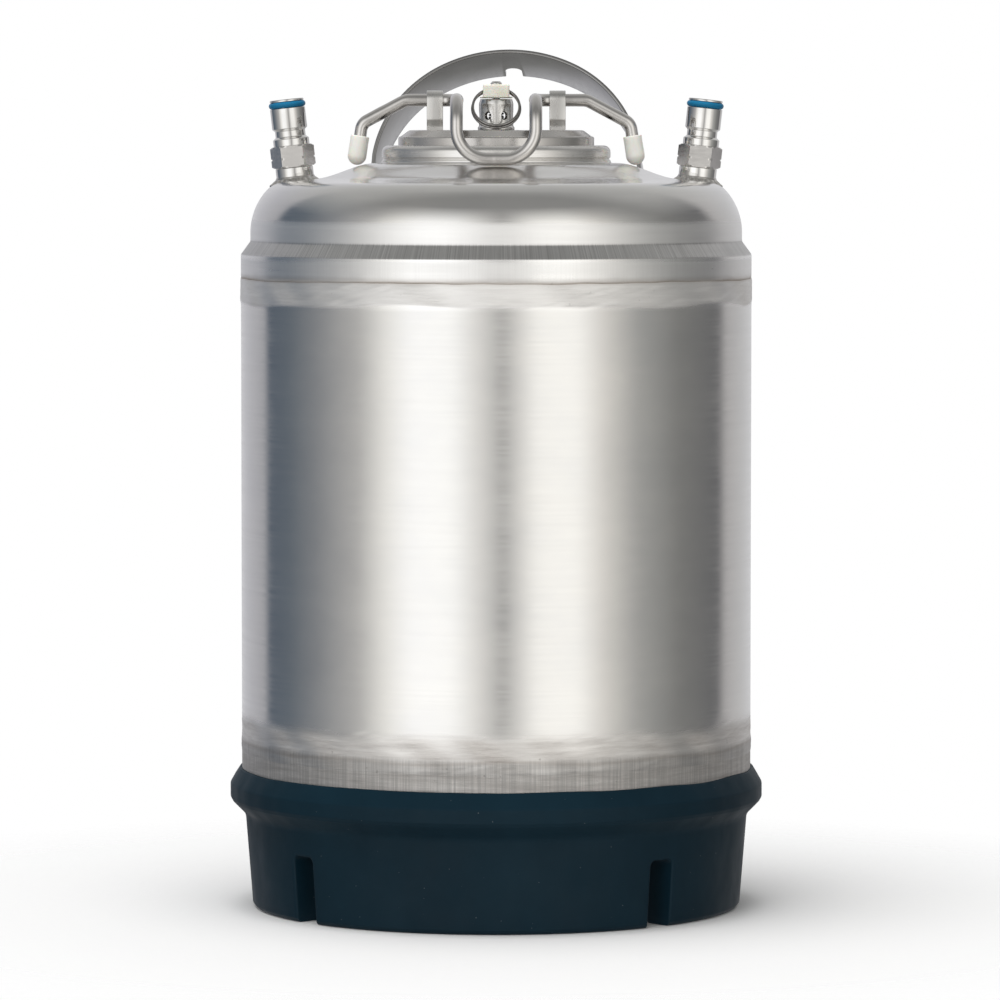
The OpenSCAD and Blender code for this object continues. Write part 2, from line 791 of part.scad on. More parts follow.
module poppet(side) {
    color(bright)
        on_post(side)
            rotate_extrude()
                polygon([
                    [0, poppet_tail_start],
                    [poppet_tail_radius, poppet_tail_start],
                    [poppet_tail_radius, poppet_disc_start - over],
                    [poppet_pin_radius, poppet_disc_start],
                    [poppet_disc_radius, poppet_disc_start],
                    [poppet_disc_radius, poppet_disc_start + poppet_disc_thickness],
                    [poppet_pin_radius, poppet_disc_start + poppet_disc_thickness],
                    [poppet_pin_radius, poppet_end - over / 2],
                    [poppet_pin_radius - over / 2, poppet_end],
                    [0, poppet_end]
                ]);
}

module poppet_seal(side) {
    color(rubber)
        on_post(side)
            rotate_extrude()
                translate([poppet_seal_radius, poppet_seal_position])
                    circle(r = poppet_seal_section);
}

module poppet_spring(side) {
    color(bright)
        on_post(side)
            for (i = [0:spring_turns])
                translate([0, 0, spring_foot + (spring_top - spring_foot) * i / spring_turns])
                    rotate_extrude()
                        translate([poppet_spring_radius, 0])
                            circle(r = poppet_spring_wire);
}

module lid_plate() {
    color(bright)
        difference() {
            union() {
                around_oval()
                    polygon([
                        [flange_reach, flange_z],
                        [flange_reach, flange_top_z],
                        [lid_wall_back, flange_top_z],
                        [lid_wall_back, lid_edge_z - over / 3],
                        [lid_wall_back - over / 3, lid_edge_z],
                        [slope_start, lid_edge_z],
                        [slope_end, lid_top_z],
                        [-ring_reach, lid_top_z],
                        [-ring_reach, lid_inside_z],
                        [slope_end, lid_inside_z],
                        [lid_wall_back - lid_thickness, lid_edge_z - lid_thickness],
                        [lid_wall_back - lid_thickness, flange_z]
                    ]);
                translate([-fill_length / 2, -fill_width / 2, lid_inside_z + lap_step])
                    cube([fill_length, fill_width, lid_thickness - 3 * lap_step]);
                translate([0, 0, boss_z])
                    cylinder(r = boss_radius, h = lid_top_z - over / 2 - boss_z);
            }
            translate([0, 0, boss_z - over])
                cylinder(r = shank_radius, h = long_cut);
        }
}

module lid_gasket() {
    color(rubber)
        around_oval() {
            translate([gasket_line, flange_top_z + gasket_diameter / 2])
                circle(d = gasket_diameter);
            translate([gasket_line, flange_top_z + gasket_diameter / 2])
                circle(d = gasket_diameter - 2 * lap_step);
        }
}

module bail_clip(side) {
    color(steel)
        translate([side * clip_x - clip_width / 2, 0, 0])
            rotate([right_angle, 0, right_angle])
                linear_extrude(height = clip_width)
                    difference() {
                        union() {
                            translate([0, pivot_z])
                                circle(r = clip_outside);
                            clip_skirt(0);
                            translate([-clip_foot_reach, lid_top_z])
                                square([2 * clip_foot_reach, clip_foot_height]);
                        }
                        translate([0, pivot_z])
                            circle(r = clip_inside);
                        clip_skirt(clip_thickness);
                    }
}

// The clip's two legs as one filled shape, moved inwards by a depth.
module clip_skirt(depth) {
    half = clip_outside - depth;
    polygon([
        [-half, pivot_z],
        [-half, clip_waist_z],
        [-half + clip_tuck, clip_foot_z],
        [-half + clip_tuck, lid_top_z - depth],
        [half - clip_tuck, lid_top_z - depth],
        [half - clip_tuck, clip_foot_z],
        [half, clip_waist_z],
        [half, pivot_z]
    ]);
}

// One elbow of rod in the XZ plane. It starts along +X at the origin and bends down by an angle.
module elbow(radius, angle) {
    translate([0, 0, -radius])
        rotate([right_angle, 0, 0])
            rotate([0, 0, right_angle - angle])
                rotate_extrude(angle = angle)
                    translate([radius, 0])
                        circle(r = rod_radius);
}

// A straight length of rod along +X. It laps a little way into the bends at both ends.
module rod(length) {
    translate([-lap_length, 0, 0])
        rotate([0, right_angle, 0])
            cylinder(r = rod_radius - lap_step, h = length + 2 * lap_length);
}

// Moves a child to the far end of an elbow of that radius and angle.
module past_elbow(radius, angle) {
    translate([radius * sin(angle), 0, -radius * (1 - cos(angle))])
        rotate([0, angle, 0])
            children();
}

// Half of the bail, from the middle of the U to one foot, on the +X side.
module half_bail() {
    translate([leg_x + elbow_radius, 0, pivot_z]) {
        rod(wing_x - leg_x - elbow_radius);
        rotate([0, 0, half_turn])
            rotate([right_angle, 0, 0])
                elbow(elbow_radius, right_angle);
    }
    translate([wing_x, 0, pivot_z]) {
        elbow(wing_bend_radius, wing_slope);
        past_elbow(wing_bend_radius, wing_slope) {
            rod(wing_length);
            translate([wing_length, 0, 0]) {
                elbow(foot_bend_radius, foot_turn);
                past_elbow(foot_bend_radius, foot_turn)
                    rod(foot_length);
            }
        }
    }
    translate([leg_x, -elbow_radius, pivot_z])
        rotate([0, 0, -right_angle]) {
            rod(drop_start - elbow_radius);
            translate([drop_start - elbow_radius, 0, 0]) {
                elbow(drop_radius, right_angle);
                past_elbow(drop_radius, right_angle)
                    rod(u_straight);
            }
        }
    translate([leg_x - u_corner_radius, -u_reach, u_bottom_z])
        rotate([half_turn, 0, 0])
            elbow(u_corner_radius, right_angle);
}

module bail_handle() {
    color(steel) {
        half_bail();
        mirror([1, 0, 0])
            half_bail();
        translate([u_corner_radius - leg_x, -u_reach, u_bottom_z])
            rod(2 * (leg_x - u_corner_radius));
    }
}

// Puts a child at the foot of the rod with +X running on along the rod.
module at_foot() {
    translate([wing_x, 0, pivot_z])
        past_elbow(wing_bend_radius, wing_slope)
            translate([wing_length, 0, 0])
                past_elbow(foot_bend_radius, foot_turn)
                    translate([foot_length, 0, 0])
                        rotate([0, right_angle, 0])
                            children();
}

module foot_cap() {
    color(ivory)
        at_foot()
            difference() {
                union() {
                    translate([0, 0, -cap_socket])
                        cylinder(r = cap_radius, h = cap_length);
                    translate([0, 0, cap_length - cap_socket])
                        sphere(r = cap_radius);
                }
                translate([0, 0, -cap_socket - over])
                    cylinder(r = rod_radius, h = cap_socket + over + lap_length);
            }
}

module relief_valve_body() {
    color(bright)
        difference() {
            rotate_extrude()
                polygon([
                    [passage_radius, shank_z],
                    [shank_radius, shank_z],
                    [shank_radius, lid_top_z],
                    [valve_flange_radius, lid_top_z],
                    [valve_flange_radius, lid_top_z + valve_flange_height - over / 2],
                    [valve_radius, lid_top_z + valve_flange_height],
                    [valve_radius, valve_top_z - 2 * over],
                    [valve_top_radius, valve_top_z],
                    [stem_radius + stem_clearance, valve_top_z],
                    [stem_radius + stem_clearance, valve_top_z - roof_thickness],
                    [chamber_radius, valve_top_z - roof_thickness],
                    [chamber_radius, seat_z],
                    [passage_radius, seat_z]
                ]);
            for (i = [0:vent_count - 1])
                rotate([0, 0, (i + 0.5) * full_turn / vent_count - right_angle])
                    translate([passage_radius + stem_radius, 0, vent_z])
                        rotate([0, right_angle, 0])
                            cylinder(r = vent_radius, h = valve_radius);
        }
}

module relief_spring() {
    color(bright)
        for (i = [0:spring_turns])
            translate([0, 0, relief_spring_foot + (relief_spring_top - relief_spring_foot) * i / spring_turns])
                rotate_extrude()
                    translate([relief_spring_radius, 0])
                        circle(r = relief_spring_wire);
}

module relief_stem() {
    color(bright)
        rotate_extrude()
            polygon(concat(
                [[0, stem_foot_z], [seal_radius, stem_foot_z], [seal_radius, stem_foot_z + disc_thickness]],
                [[stem_radius, stem_foot_z + disc_thickness], [stem_radius, stem_top_z]],
                [for (i = [0:curve_steps]) [rivet_radius * cos(right_angle * i / curve_steps),
                    stem_top_z + rivet_height * sin(right_angle * i / curve_steps)]]
            ));
}

module relief_seal() {
    color(rubber)
        translate([0, 0, seat_z + seal_gap])
            cylinder(r = seal_radius, h = seal_thickness);
}

module relief_knob() {
    color(ivory)
        difference() {
            union() {
                translate([0, 0, knob_z])
                    cylinder(r = knob_flange_radius, h = knob_flange_height);
                translate([-knob_width / 2, -knob_front, knob_z])
                    cube([knob_width, knob_front + knob_back, knob_top_z - knob_z]);
            }
            translate([0, 0, knob_z - over])
                cylinder(r = stem_radius, h = long_cut);
            translate([-long_cut / 2, -ring_hole_y, ring_hole_z])
                rotate([0, right_angle, 0])
                    cylinder(r = ring_hole_radius, h = long_cut);
        }
}

module pull_ring() {
    color(bright)
        translate([0, -ring_hole_y, ring_hole_z])
            rotate([-ring_lean, 0, 0])
                translate([0, 0, ring_play - ring_radius])
                    rotate([right_angle, 0, 0])
                        for (side = [-1, 1])
                            translate([0, 0, side * ring_wire / 2])
                                rotate_extrude()
                                    translate([ring_radius, 0])
                                        circle(d = ring_wire + over / 50);
}

body_shell();
top_head();
bottom_head();
rubber_base();
strap_handle();
port(-1);  // gas_port
port(1);  // liquid_port
post(-1);  // gas_post
post(1);  // liquid_post
post_o_ring(-1);  // gas_post_o_ring
post_o_ring(1);  // liquid_post_o_ring
dip_tube(-1, gas_tube_length);  // gas_dip_tube
dip_tube(1, liquid_tube_length);  // liquid_dip_tube
dip_tube_o_ring(-1);  // gas_dip_tube_o_ring
dip_tube_o_ring(1);  // liquid_dip_tube_o_ring
poppet(-1);  // gas_poppet
poppet(1);  // liquid_poppet
poppet_seal(-1);  // gas_poppet_seal
poppet_seal(1);  // liquid_poppet_seal
poppet_spring(-1);  // gas_poppet_spring
poppet_spring(1);  // liquid_poppet_spring
lid_plate();
lid_gasket();
bail_clip(-1);  // left_bail_clip
bail_clip(1);  // right_bail_clip
relief_valve_body();
relief_spring();
relief_stem();
relief_knob();
relief_seal();
pull_ring();
bail_handle();
mirror([1, 0, 0]) foot_cap();  // left_foot_cap
foot_cap();  // right_foot_cap
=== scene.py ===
"""Looks of a small ball lock beverage keg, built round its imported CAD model.

Shapes are worked out in millimetres and turned into metres when a mesh is made. +Z is up and -Y is the front.
"""
import math

import bmesh
import bpy
import numpy as np
from mathutils import Matrix, Vector


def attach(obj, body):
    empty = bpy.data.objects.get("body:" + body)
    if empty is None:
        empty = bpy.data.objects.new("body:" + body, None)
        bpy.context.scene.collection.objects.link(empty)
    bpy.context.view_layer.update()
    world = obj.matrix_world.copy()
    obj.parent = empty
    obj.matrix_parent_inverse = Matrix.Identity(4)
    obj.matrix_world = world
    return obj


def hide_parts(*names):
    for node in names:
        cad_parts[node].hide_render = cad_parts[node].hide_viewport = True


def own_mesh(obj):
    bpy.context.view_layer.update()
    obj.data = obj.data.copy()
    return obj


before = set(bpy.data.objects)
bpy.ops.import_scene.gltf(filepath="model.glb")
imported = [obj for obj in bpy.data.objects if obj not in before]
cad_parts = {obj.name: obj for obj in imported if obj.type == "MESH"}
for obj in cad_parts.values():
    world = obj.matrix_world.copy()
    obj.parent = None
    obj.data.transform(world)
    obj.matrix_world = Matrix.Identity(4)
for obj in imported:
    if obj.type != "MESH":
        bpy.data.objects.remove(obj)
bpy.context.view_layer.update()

MM = 0.001
WELD_DISTANCE = 1e-7
FULL_TURN = 2 * math.pi
RIGHT_ANGLE = math.pi / 2
SMOOTH_LIMIT = math.radians(35)
LONGEST_REACH = 0.56  # how much of a side one rounded corner may use up
NEARLY_STRAIGHT = 0.01
USUAL_NOISE = (0.3, 0.7)  # where most of a noise's values lie

# ---- Sizes, in millimetres and degrees ----
WALL = 1.5
SHELL_RADIUS = 107.95
LOWER_SEAM = 66
UPPER_SEAM = 266
KNUCKLE_X, KNUCKLE_Z, KNUCKLE_RADIUS = 81.95, 54, 26  # the bottom head's outer bend
DISH_RADIUS = 216
FLARE_START, FLARE_END = 276.0, 281.6
NECK_RADIUS = 103.9
SHOULDER_X, SHOULDER_Z, SHOULDER_RADIUS = 77.4, 285.2, 26.5
HEAD_CORNER_RADIUS = 12
HEAD_CORNER_TURN = 41.7
SLOPE_RADIUS, SLOPE_Z = 76, 307.9  # the foot of the head's slope, which rises to the crown
CROWN_RADIUS, CROWN_Z = 51, 314.5
HATCH_END_X, HATCH_END_RADIUS, HATCH_END_TURN = 18.3, 30, 38.64  # the oval hatch: two end arcs
HATCH_SIDE_Y, HATCH_SIDE_RADIUS = 14.627, 53.427  # and two flatter sides
LID_TOP = 328.4
PIVOT_Z = 341
ROD_RADIUS = 2.7
BAIL_X, BAIL_Y = 16.4, -58
WING_SLOPE, WING_BEND, WING_LENGTH = 28, 7, 16.6
FOOT_SLOPE, FOOT_BEND, FOOT_LENGTH = 81, 5, 9.7
CLIP_X, CLIP_RADIUS, CLIP_THICKNESS, CLIP_WIDTH = 25.9, 3.45, 1.26, 6.8
POST_X = 84.9
POST_Z = 308
POST_TILT = 6.3
HEX_APOTHEM = 8.05
VALVE_TOP = 341.5
RING_HOLE_Y = -5.2
RING_HOLE_Z = 345
RING_LEAN, RING_RADIUS, RING_WIRE = -37, 10.05, 0.55
BOOT_LOW, BOOT_HIGH = (103.5, 1.2), (106.5, 39.5)  # radius and height where the base's taper starts and ends
SLOT_WIDTH, SLOT_TOP = 11.75, 28
SLOT_ANGLES = (-49.5, 40.5, 130.5, 220.5)
SLOT_MOUTH = 0.9
STRAP_WIDTH, STRAP_THICKNESS = 29.5, 1.7
STRAP_Y, STRAP_TOP = 62, 363.3
STRAP_RISE = 60
STRAP_LEAN = 19.7
STRAP_TURN = -5.2
NOTCH_DEPTH, NOTCH_HALF = 10.2, 3.65
FLOOR_SIZE, FLOOR_DROP = 1.2, 0.0002  # metres


# ---- Lines and outlines ----
def arc(x, z, radius, start, end, steps=10):
    """Points on an arc between two angles in degrees."""
    angles = np.radians(np.linspace(start, end, steps + 1))
    return [(x + radius * math.cos(a), z + radius * math.sin(a)) for a in angles]


def fillet(before, corner, after, radius, steps):
    """The points that round one corner of a line."""
    back, on = before - corner, after - corner
    reach_back, reach_on = np.linalg.norm(back), np.linalg.norm(on)
    back, on = back / reach_back, on / reach_on
    half = math.acos(np.clip(np.dot(back, on), -1, 1)) / 2
    if radius <= 0 or half > RIGHT_ANGLE - NEARLY_STRAIGHT:
        return [corner]
    reach = min(radius / math.tan(half), LONGEST_REACH * reach_back, LONGEST_REACH * reach_on)
    middle = (back + on) / np.linalg.norm(back + on)
    centre = corner + middle * reach / math.cos(half)
    first, last = corner + back * reach - centre, corner + on * reach - centre
    sweep = math.pi - 2 * half
    return [
        centre + (first * math.sin(sweep * (1 - t)) + last * math.sin(sweep * t)) / math.sin(sweep)
        for t in np.linspace(0, 1, steps + 1)
    ]


def turned(corners, closed=False, steps=5):
    """The points of a line through corners, each a point and the radius that rounds it."""
    points = [np.array(point, float) for point, radius in corners]
    line = []
    for index, (point, radius) in enumerate(corners):
        if not closed and index in (0, len(corners) - 1):
            line.append(points[index])
            continue
        line += fillet(points[index - 1], points[index], points[(index + 1) % len(points)], radius, steps)
    return np.array(line)


def section(*corners, closed=True, steps=5):
    """A rounded outline from corners given as (x, z, radius)."""
    return turned([((x, z), radius) for x, z, radius in corners], closed, steps)


def evenly(line, step):
    """The same line with points no further apart than a step."""
    result = [line[0]]
    for start, end in zip(line[:-1], line[1:]):
        count = max(1, math.ceil(np.linalg.norm(end - start) / step))
        result += [start + (end - start) * i / count for i in range(1, count + 1)]
    return np.array(result)


def all_round(count):
    """Angles evenly round a full turn."""
    return np.linspace(0, FULL_TURN, count, endpoint=False)


def tangents(line, closed=False):
    """The direction of a line at each of its points."""
    if closed:
        ahead, behind = np.roll(line, -1, 0), np.roll(line, 1, 0)
    else:
        ahead, behind = np.vstack([line[1:], line[-1:]]), np.vstack([line[:1], line[:-1]])
    return (ahead - behind) / np.linalg.norm(ahead - behind, axis=1)[:, None]


def normals(line):
    """The direction to the right of a flat line at each of its points."""
    return tangents(line)[:, ::-1] * (1, -1)


def smooth_step(value):
    """0 below 0, 1 above 1, and a smooth rise between."""
    value = np.clip(value, 0, 1)
    return value * value * (3 - 2 * value)


def ripple(angle, seed, slowest, quickest, waves=7):
    """A gentle irregular wave round the keg, between about -1 and 1."""
    random = np.random.default_rng(seed)
    total = 0 * angle
    for _ in range(waves):
        total = total + np.sin(random.integers(slowest, quickest) * angle + random.uniform(0, FULL_TURN))
    return total / math.sqrt(waves) / 1.4


# ---- Meshes ----
def make_piece(name, points, faces, material):
    """A smooth mesh object from points in millimetres."""
    mesh = bpy.data.meshes.new(name)
    mesh.from_pydata([tuple(point) for point in np.asarray(points) * MM], [], faces)
    work = bmesh.new()
    work.from_mesh(mesh)
    bmesh.ops.remove_doubles(work, verts=work.verts, dist=WELD_DISTANCE)
    bmesh.ops.recalc_face_normals(work, faces=work.faces)
    if work.calc_volume(signed=True) < 0:
        bmesh.ops.reverse_faces(work, faces=work.faces)
    work.to_mesh(mesh)
    work.free()
    smooth(mesh)
    mesh.materials.append(material)
    piece = bpy.data.objects.new(name, mesh)
    bpy.context.collection.objects.link(piece)
    return piece


def smooth(mesh):
    mesh.polygons.foreach_set("use_smooth", [True] * len(mesh.polygons))
    mesh.set_sharp_from_angle(angle=SMOOTH_LIMIT)


def grid(name, points, material, joined=True, capped=False, place=None):
    """A surface through points[row][column], round its columns, with its ends joined, capped or open."""
    points = np.asarray(points, float)
    rows, columns = points.shape[:2]
    if place is not None:
        turn, move = np.array(place.to_3x3()), np.array(place.translation)
        points = points @ turn.T + move
    faces = []
    for row in range(rows if joined and not capped else rows - 1):
        low, high = row * columns, ((row + 1) % rows) * columns
        for column in range(columns):
            right = (column + 1) % columns
            faces.append((low + column, low + right, high + right, high + column))
    if capped:
        faces.append(tuple(range(columns)))
        faces.append(tuple(range((rows - 1) * columns, rows * columns)))
    return make_piece(name, points.reshape(-1, 3), faces, material)


def lathe(name, outline, material, columns=128, joined=True, place=None, relief=None):
    """An outline of (radius, height) turned about Z. relief moves the points a little."""
    outline = np.asarray(outline, float)
    angle = all_round(columns)[None, :]
    radius = outline[:, :1] + 0 * angle
    height = outline[:, 1:] + 0 * angle
    if relief:
        radius, height = relief(radius, height, angle + 0 * radius)
    points = np.stack([radius * np.cos(angle), radius * np.sin(angle), height], -1)
    return grid(name, points, material, joined=joined, place=place)


def tube(name, line, radius, material, columns, closed=False):
    """A round bar along a line in space. radius is one number or one for each point."""
    line = np.asarray(line, float)
    radius = np.broadcast_to(radius, len(line))
    directions = tangents(line, closed)
    side = np.cross(directions[0], (0.3, 0.5, 0.8))
    angle = all_round(columns)[:, None]
    rows = []
    for centre, tangent, size in zip(line, directions, radius):
        side = side - tangent * np.dot(side, tangent)
        side /= np.linalg.norm(side)
        up = np.cross(tangent, side)
        rows.append(centre + size * (np.cos(angle) * side + np.sin(angle) * up))
    return grid(name, rows, material, capped=not closed)


def strip(line, thickness, width, edge):
    """Rows of points for a flat strip: a section swept along a line in the XY plane, and Z across it."""
    line = np.asarray(line, float)
    across = section(
        (0, 0, edge), (thickness, 0, edge), (thickness, -width, edge), (0, -width, edge), steps=3,
    )
    flat = line[:, None, :] + normals(line)[:, None, :] * across[None, :, :1]
    depth = np.broadcast_to(across[None, :, 1:], flat.shape[:2] + (1,))
    return np.concatenate([flat, depth], -1)


def carve(piece, cutter, operation="DIFFERENCE"):
    """Cuts one piece with another, or joins it on, and removes the cutter."""
    change = piece.modifiers.new("carve", "BOOLEAN")
    change.operation = operation
    change.solver = "EXACT"
    change.object = cutter
    bpy.context.view_layer.update()
    shape = bpy.data.meshes.new_from_object(piece.evaluated_get(bpy.context.evaluated_depsgraph_get()))
    piece.modifiers.clear()
    piece.data = shape
    bpy.data.objects.remove(cutter)
    smooth(shape)


def paint(piece, name, measure):
    """Keeps a number for each point of a mesh, from its angle, height and radius, for a material to read."""
    where = np.empty(3 * len(piece.data.vertices))
    piece.data.vertices.foreach_get("co", where)
    x, y, z = where.reshape(-1, 3).T / MM
    values = measure(np.arctan2(y, x), z, np.hypot(x, y))
    piece.data.attributes.new(name, "FLOAT", "POINT").data.foreach_set("value", values)


def finish_piece(piece, body, slot, *nodes):
    """Fixes a piece to its body, and hides the CAD nodes that it stands for. slot is not used."""
    if nodes:
        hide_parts(*nodes)
    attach(piece, body)


def along(origin, direction):
    """The placing that takes +Z to a direction, with its origin at a point in millimetres."""
    turn = Vector(direction).to_track_quat("Z", "Y").to_matrix().to_4x4()
    return Matrix.Translation(origin) @ turn


# ---- Materials ----
def feed(tree, socket, value):
    """Links a node's output to a socket, or sets the socket to a plain value."""
    if isinstance(value, bpy.types.NodeSocket):
        tree.links.new(value, socket)
    else:
        socket.default_value = value


def add_node(tree, kind, *values, **settings):
    """A new node, with its settings, and values fed to its sockets in order."""
    node = tree.nodes.new(kind)
    for name, setting in settings.items():
        setattr(node, name, setting)
    for socket, value in zip(node.inputs, values):
        feed(tree, socket, value)
    return node


class Finish:
    """A material in the making: a principled shader, and short ways to add nodes before it."""

    def __init__(self, name, **sockets):
        self.material = bpy.data.materials.new(name)
        self.material.use_nodes = True
        self.tree = self.material.node_tree
        self.shader = self.tree.nodes["Principled BSDF"]
        self.place = self.tree.nodes.new("ShaderNodeTexCoord").outputs["Object"]
        for socket, value in sockets.items():
            self.shader.inputs[socket.replace("_", " ")].default_value = value

    def feed(self, socket, value):
        feed(self.tree, socket, value)

    def maths(self, operation, *values):
        return add_node(self.tree, "ShaderNodeMath", *values, operation=operation).outputs[0]

    def vector_maths(self, operation, *values):
        return add_node(self.tree, "ShaderNodeVectorMath", *values, operation=operation)

    def scaled(self, x, y, z):
        """The place on the keg in metres, times a factor along each axis."""
        return self.vector_maths("MULTIPLY", self.place, (x, y, z)).outputs[0]

    def noise(self, scale, detail=3.0, roughness=0.5, place=None):
        """Noise with its scale per metre along each axis, or with its own place."""
        node = self.tree.nodes.new("ShaderNodeTexNoise")
        self.feed(node.inputs["Vector"], self.scaled(*scale) if place is None else place)
        node.inputs["Scale"].default_value = 1.0
        node.inputs["Detail"].default_value = detail
        node.inputs["Roughness"].default_value = roughness
        return node.outputs[0]

    def upright(self, round_it, along_it, detail=3.0):
        """Noise in upright lines, with its scale round the keg's axis per radian and along it per metre."""
        outward = self.vector_maths("NORMALIZE", self.scaled(1, 1, 0)).outputs[0]
        factors, upward = (round_it, round_it, 0), self.scaled(0, 0, along_it)
        join = self.vector_maths("MULTIPLY_ADD", outward, factors, upward).outputs[0]
        return self.noise(None, detail, 0.6, place=join)

    def attribute(self, name):
        """What paint() kept in the mesh under a name."""
        return add_node(self.tree, "ShaderNodeAttribute", attribute_name=name).outputs["Fac"]

    def spread(self, value, low, high, to_low=0.0, to_high=1.0):
        """A value between low and high, stretched to lie between two others."""
        return add_node(self.tree, "ShaderNodeMapRange", value, low, high, to_low, to_high).outputs[0]

    def mix(self, factor, first, second):
        node = add_node(self.tree, "ShaderNodeMix", factor, data_type="RGBA")
        self.feed(node.inputs[6], first if isinstance(first, bpy.types.NodeSocket) else (*first, 1))
        self.feed(node.inputs[7], second if isinstance(second, bpy.types.NodeSocket) else (*second, 1))
        return node.outputs[2]

    def bump(self, height, depth, strength=1.0, under=None):
        """A bump of a depth in millimetres, on top of another if under is given."""
        node = self.tree.nodes.new("ShaderNodeBump")
        node.inputs["Strength"].default_value = strength
        node.inputs["Distance"].default_value = depth * MM
        self.feed(node.inputs["Height"], height)
        if under is not None:
            self.feed(node.inputs["Normal"], under)
        return node.outputs[0]

    def set(self, **values):
        """Feeds the shader's sockets and gives the finished material."""
        for socket, value in values.items():
            self.feed(self.shader.inputs[socket.replace("_", " ")], value)
        return self.material


# Colours of the vessel's sheet, and the grey of its painted shade. Rolled and ground steel lie between two.
ROLLED = (0.77, 0.765, 0.755), (0.83, 0.82, 0.80)
GROUND = (0.52, 0.48, 0.45), (0.99, 0.96, 0.93)
POLISHED = (0.97, 0.965, 0.955)
HEAT_TINT = (0.36, 0.27, 0.20)
SPECK = (0.25, 0.22, 0.2)
PAINTED_SHADE = (0.33, 0.325, 0.32)


def skin_steel():
    """The vessel's sheet: satin where rolled, ground and heat-stained beside the welds, and darkened with
    painted shade in streaky bands.
    """
    skin = Finish("vessel_steel", Metallic=1.0, Anisotropic=0.35)
    worn = skin.attribute("worn")
    seam = skin.attribute("seam")
    painted_shade_streaks = skin.attribute("painted_shade_streaks")
    bright = skin.attribute("bright")
    level_lines = skin.noise((14, 14, 900), 4.0, 0.6)
    upright_lines = skin.upright(170, 25, 4.0)
    clouds = skin.noise((26, 26, 40), 4.0, 0.6)
    grinding = skin.noise((34, 34, 430), 6.0, 0.7)
    ground_lines = skin.spread(grinding, *USUAL_NOISE)
    specks = skin.spread(skin.noise((420, 420, 420), 1.0), 0.74, 0.8)
    base = skin.mix(skin.spread(clouds, *USUAL_NOISE), *ROLLED)
    base = skin.mix(skin.maths("MULTIPLY", worn, 0.75), base, skin.mix(ground_lines, *GROUND))
    base = skin.mix(skin.maths("MULTIPLY", seam, 0.8), base, HEAT_TINT)
    base = skin.mix(skin.maths("MULTIPLY", specks, skin.maths("MULTIPLY", worn, 0.6)), base, SPECK)
    base = skin.mix(bright, base, POLISHED)
    # Painted shade: the mask darkens the base colour towards a grey in streaky upright lines. This stands in
    # for dark reflections and shade on the keg.
    streaked_shade = skin.maths("MULTIPLY", painted_shade_streaks, skin.spread(upright_lines, 0.34, 0.66, 0.5, 1.0))
    base = skin.mix(streaked_shade, base, PAINTED_SHADE)
    roughness = skin.spread(level_lines, *USUAL_NOISE, 0.12, 0.20)
    roughness = skin.maths("ADD", roughness, skin.spread(worn, 0, 1, 0, 0.36))
    roughness = skin.maths("ADD", roughness, skin.maths("MULTIPLY", painted_shade_streaks, 0.05))
    roughness = skin.maths("ADD", roughness, skin.spread(clouds, *USUAL_NOISE, -0.02, 0.03))
    grooves = skin.maths("MULTIPLY", ground_lines, skin.spread(worn, 0.5, 1.0))
    lines = skin.bump(level_lines, 0.006, 0.35)
    lines = skin.bump(skin.maths("MULTIPLY", upright_lines, painted_shade_streaks), 0.02, 0.5, under=lines)
    lines = skin.bump(grooves, 0.14, 1.0, under=lines)
    return skin.set(Base_Color=base, Roughness=roughness, Normal=lines)


def plain_metal(name, colour, low, high, scale=(300, 300, 300), depth=0.01):
    """Steel with fine marks, between two roughnesses. depth is that of its marks in millimetres."""
    metal = Finish(name, Metallic=1.0)
    marks = metal.noise(scale, 4.0, 0.6)
    clouds = metal.noise((60, 60, 60), 3.0)
    darker = tuple(0.82 * channel for channel in colour)
    base = metal.mix(metal.spread(clouds, *USUAL_NOISE), darker, colour)
    roughness = metal.spread(marks, *USUAL_NOISE, low, high)
    return metal.set(Base_Color=base, Roughness=roughness, Normal=metal.bump(marks, depth, 0.5))


def rubber(name, colour, lighter, roughness, dust):
    """Moulded rubber with a slightly mottled skin and a few specks of dust."""
    skin = Finish(name, Specular_IOR_Level=0.16)
    clouds = skin.noise((22, 22, 16), 4.0, 0.6)
    grain = skin.noise((1500, 1500, 1500), 2.0)
    specks = skin.spread(skin.noise((900, 900, 900), 1.0), 0.80, 0.83, 0, dust)
    base = skin.mix(skin.spread(clouds, *USUAL_NOISE), colour, lighter)
    base = skin.mix(specks, base, (0.45, 0.47, 0.48))
    rough = skin.spread(skin.noise((70, 70, 50), 4.0), *USUAL_NOISE, roughness - 0.06, roughness + 0.08)
    normal = skin.bump(clouds, 0.25, 0.4, under=skin.bump(grain, 0.02, 0.5))
    return skin.set(Base_Color=base, Roughness=rough, Normal=normal)


def plastic(name, colour, shade, roughness):
    """Moulded ivory plastic that lets a little light in."""
    skin = Finish(name, Subsurface_Weight=0.15, Subsurface_Scale=0.002)
    clouds = skin.noise((160, 160, 160), 4.0)
    rough = skin.spread(skin.noise((500, 500, 500), 3.0), *USUAL_NOISE, roughness - 0.06, roughness + 0.1)
    base = skin.mix(skin.spread(clouds, 0.35, 0.7), colour, shade)
    return skin.set(Base_Color=base, Roughness=rough, Normal=skin.bump(clouds, 0.04, 0.4))


